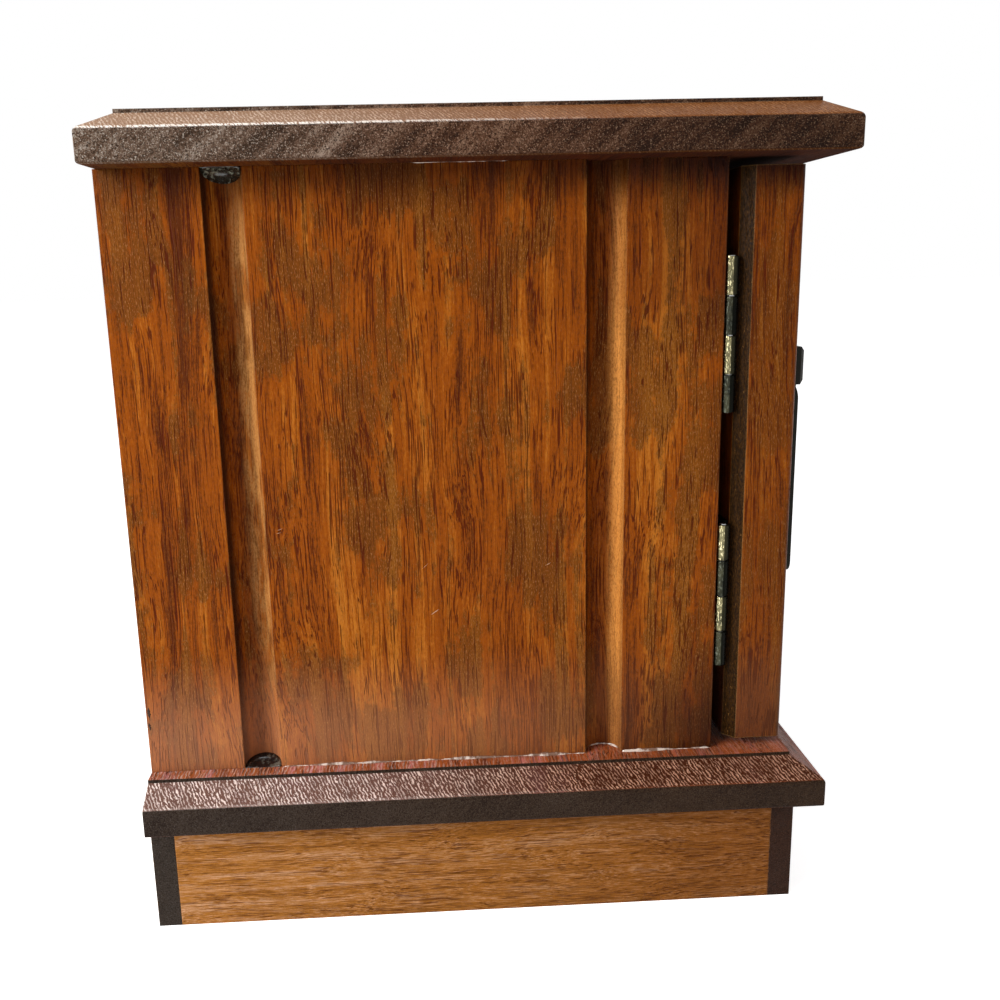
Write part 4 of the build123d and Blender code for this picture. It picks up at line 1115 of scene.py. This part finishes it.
class WearOperator(bpy.types.Operator):
    """Add the few light scratches and the dark chip on the left wall"""
    bl_idname = "jewelrybox.wear"
    bl_label = "Scratches and chips"

    def execute(self, context):
        scratch, chip = (clouded_material(name, (4.0, 3.0, 0.65), (0.35, 0.60), edge, middle,
                                          (0.35, 0.6), 0.0001, Specular_IOR_Level=0.2)
                         for name, edge, middle in (
                             ("Scratched varnish", (0.30, 0.15, 0.07), (0.62, 0.45, 0.30)),
                             ("Bruised wood", (0.06, 0.025, 0.012), (0.012, 0.006, 0.004))))
        self.mark("scratch_middle", 74.6, 40.8, 2.6, 0.30, -34, scratch)
        self.mark("scratch_left", 37.0, 63.8, 1.5, 0.16, -20, scratch)
        self.mark("scratch_left_below", 36.6, 62.9, 1.2, 0.14, -16, scratch)
        self.mark("scratch_right", 103.5, 52.4, 1.6, 0.18, -28, scratch)
        self.mark("scratch_faint", 72.5, 53.0, 2.2, 0.10, -42, scratch)
        self.mark("chip_upper", 0.75, 16.6, 3.2, 1.1, 88, chip)
        self.mark("chip_lower", 0.65, 12.8, 2.4, 0.8, 84, chip)
        return {"FINISHED"}

    def mark(self, name, along, height, length, width, lean, material):
        """Thin lens with a wavering outline on the face of the left wall."""
        mesh = bmesh.new()
        centre = Vector((SIDE_X, BACK_Y - along * MM, BASE_TOP + height * MM))
        angle = math.radians(lean)
        ahead = Vector((0.0, -math.cos(angle), -math.sin(angle)))
        across = Vector((0.0, math.sin(angle), -math.cos(angle)))
        steps = 16
        places = [centre + ahead * (k / steps - 0.5) * length * MM for k in range(steps + 1)]
        spine = [mesh.verts.new(place - Vector((0.03 * MM, 0, 0))) for place in places]
        for side in (-1, 1):
            rim = []
            for k, place in enumerate(places):
                waver = 0.7 + 0.6 * noise.noise(Vector((k * 0.7, along, side)))
                swell = max(0.05, math.sin(math.pi * k / steps) * waver)
                rim.append(mesh.verts.new(place + across * side * width * 0.5 * swell * MM))
            for k in range(steps):
                mesh.faces.new([spine[k], spine[k + 1], rim[k + 1], rim[k]])
        bmesh.ops.holes_fill(mesh, edges=mesh.edges)
        wall_piece(name, mesh, material)


class StageOperator(bpy.types.Operator):
    """Set up the pale floor, the soft lamps and the camera"""
    bl_idname = "jewelrybox.stage"
    bl_label = "Stage"

    def execute(self, context):
        setting = context.scene.box_stage
        self.floor(setting)
        self.world(setting)
        self.lamps()
        self.camera(context, setting)
        context.scene.view_settings.view_transform = "Standard"
        return {"FINISHED"}

    def seen(self, tree):
        """One for rays that show the background, nought for rays that light the object."""
        path = tree.add("ShaderNodeLightPath").outputs
        seen = tree.maths("MAXIMUM", path["Is Camera Ray"], path["Is Glossy Ray"])
        return tree.maths("MAXIMUM", seen, path["Is Transmission Ray"])

    def floor(self, setting):
        """Wide plain floor, as bright as the photograph's background to the camera."""
        mesh = bmesh.new()
        bmesh.ops.create_grid(mesh, x_segments=8, y_segments=8, size=6.0)
        data = bpy.data.meshes.new("floor")
        mesh.to_mesh(data)
        mesh.free()
        floor = bpy.data.objects.new("floor", data)
        bpy.context.scene.collection.objects.link(floor)
        tree = new_material("Pale floor")
        shader = tree.add("ShaderNodeBsdfPrincipled",
                          {"Base Color": setting.floor, "Roughness": 0.9,
                           "Specular IOR Level": 0.0, "Emission Color": (1, 1, 1),
                           "Emission Strength": tree.times(self.seen(tree), 0.82)})
        tree.add("ShaderNodeOutputMaterial", {"Surface": shader.outputs[0]})
        data.materials.append(tree.material)

    def world(self, setting):
        """White surroundings to the camera, and a weaker sky for the light."""
        world = bpy.data.worlds.new("Soft white room")
        world.use_nodes = True
        world.node_tree.nodes.clear()
        tree = Shading(world.node_tree)
        strength = tree.plus(setting.sky, self.seen(tree), 1.0 - setting.sky)
        light = tree.add("ShaderNodeBackground", {"Color": (1, 1, 1), "Strength": strength})
        tree.add("ShaderNodeOutputWorld", {"Surface": light.outputs[0]})
        bpy.context.scene.world = world

    def lamps(self):
        """A large key from behind on the left of the view, a fill and a light from above."""
        for name, place, size, watts in (("key", (-0.55, 0.75, 0.50), 0.45, 11.5),
                                         ("fill", (-1.3, -0.5, 0.5), 1.2, 1.8),
                                         ("above", (-0.2, 0.5, 1.6), 1.2, 8.0)):
            lamp = bpy.data.lights.new(name, "AREA")
            lamp.size = size
            lamp.energy = watts
            holder = bpy.data.objects.new(name, lamp)
            holder.location = place
            aim = Vector((0.0, 0.0, 0.1)) - Vector(place)
            holder.rotation_euler = aim.to_track_quat("-Z", "Y").to_euler()
            bpy.context.scene.collection.objects.link(holder)

    def camera(self, context, setting):
        """Camera at the side of the box, turned, pitched and rolled as in the photograph."""
        data = bpy.data.cameras.new("camera")
        data.sensor_width = 36.0
        data.lens = setting.lens
        data.shift_x, data.shift_y = PICTURE_SHIFT
        data.clip_start = 0.01
        camera = bpy.data.objects.new("camera", data)
        ahead = Vector((math.cos(setting.yaw), -math.sin(setting.yaw), 0.0))
        across = Vector((-math.sin(setting.yaw), -math.cos(setting.yaw), 0.0))
        up = Vector((0.0, 0.0, 1.0))
        forward = ahead * math.cos(setting.pitch) - up * math.sin(setting.pitch)
        above = ahead * math.sin(setting.pitch) + up * math.cos(setting.pitch)
        right = across * math.cos(setting.roll) - above * math.sin(setting.roll)
        above = across * math.sin(setting.roll) + above * math.cos(setting.roll)
        turn = Matrix((right, above, -forward)).transposed().to_4x4()
        place = Vector((SIDE_X - setting.distance, BACK_Y - setting.from_back, setting.height))
        camera.matrix_world = Matrix.Translation(place) @ turn
        context.scene.collection.objects.link(camera)
        context.scene.camera = camera


class JewelryBoxPanel(bpy.types.Panel):
    """Lists the box's pieces in the order in which they are made."""
    bl_idname = "VIEW3D_PT_jewelry_box"
    bl_label = "Jewelry Box"
    bl_space_type = "VIEW_3D"
    bl_region_type = "UI"
    bl_category = "Jewelry Box"

    def draw(self, context):
        for operator in OPERATORS:
            self.layout.operator(operator.bl_idname)


PROPERTIES = {"box_wood": WoodFinish, "box_metal": MetalFinish, "box_lining": LiningFinish,
              "box_stage": StageSetting}
OPERATORS = (BoardsOperator, MouldedBoardsOperator, PlinthOperator, DoorsOperator,
             HingesOperator, PullsOperator, DrawersOperator, LiningsOperator, FittingsOperator,
             MovementOperator, GlueLinesOperator, WearOperator, StageOperator)


def register():
    for kind in (*PROPERTIES.values(), *OPERATORS, JewelryBoxPanel):
        bpy.utils.register_class(kind)
    for name, kind in PROPERTIES.items():
        setattr(bpy.types.Scene, name, PointerProperty(type=kind))


def unregister():
    for name in PROPERTIES:
        delattr(bpy.types.Scene, name)
    for kind in (JewelryBoxPanel, *reversed(OPERATORS), *reversed(PROPERTIES.values())):
        bpy.utils.unregister_class(kind)


def main():
    register()
    for build in (build_wood_group, build_end_grain_group, build_stroke_group, build_wear_group,
                  build_grime_group, build_tarnish_group):
        build()
    for operator in OPERATORS:
        area, name = operator.bl_idname.split(".")
        getattr(getattr(bpy.ops, area), name)()
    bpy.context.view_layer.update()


if __name__ == "__main__":
    main()
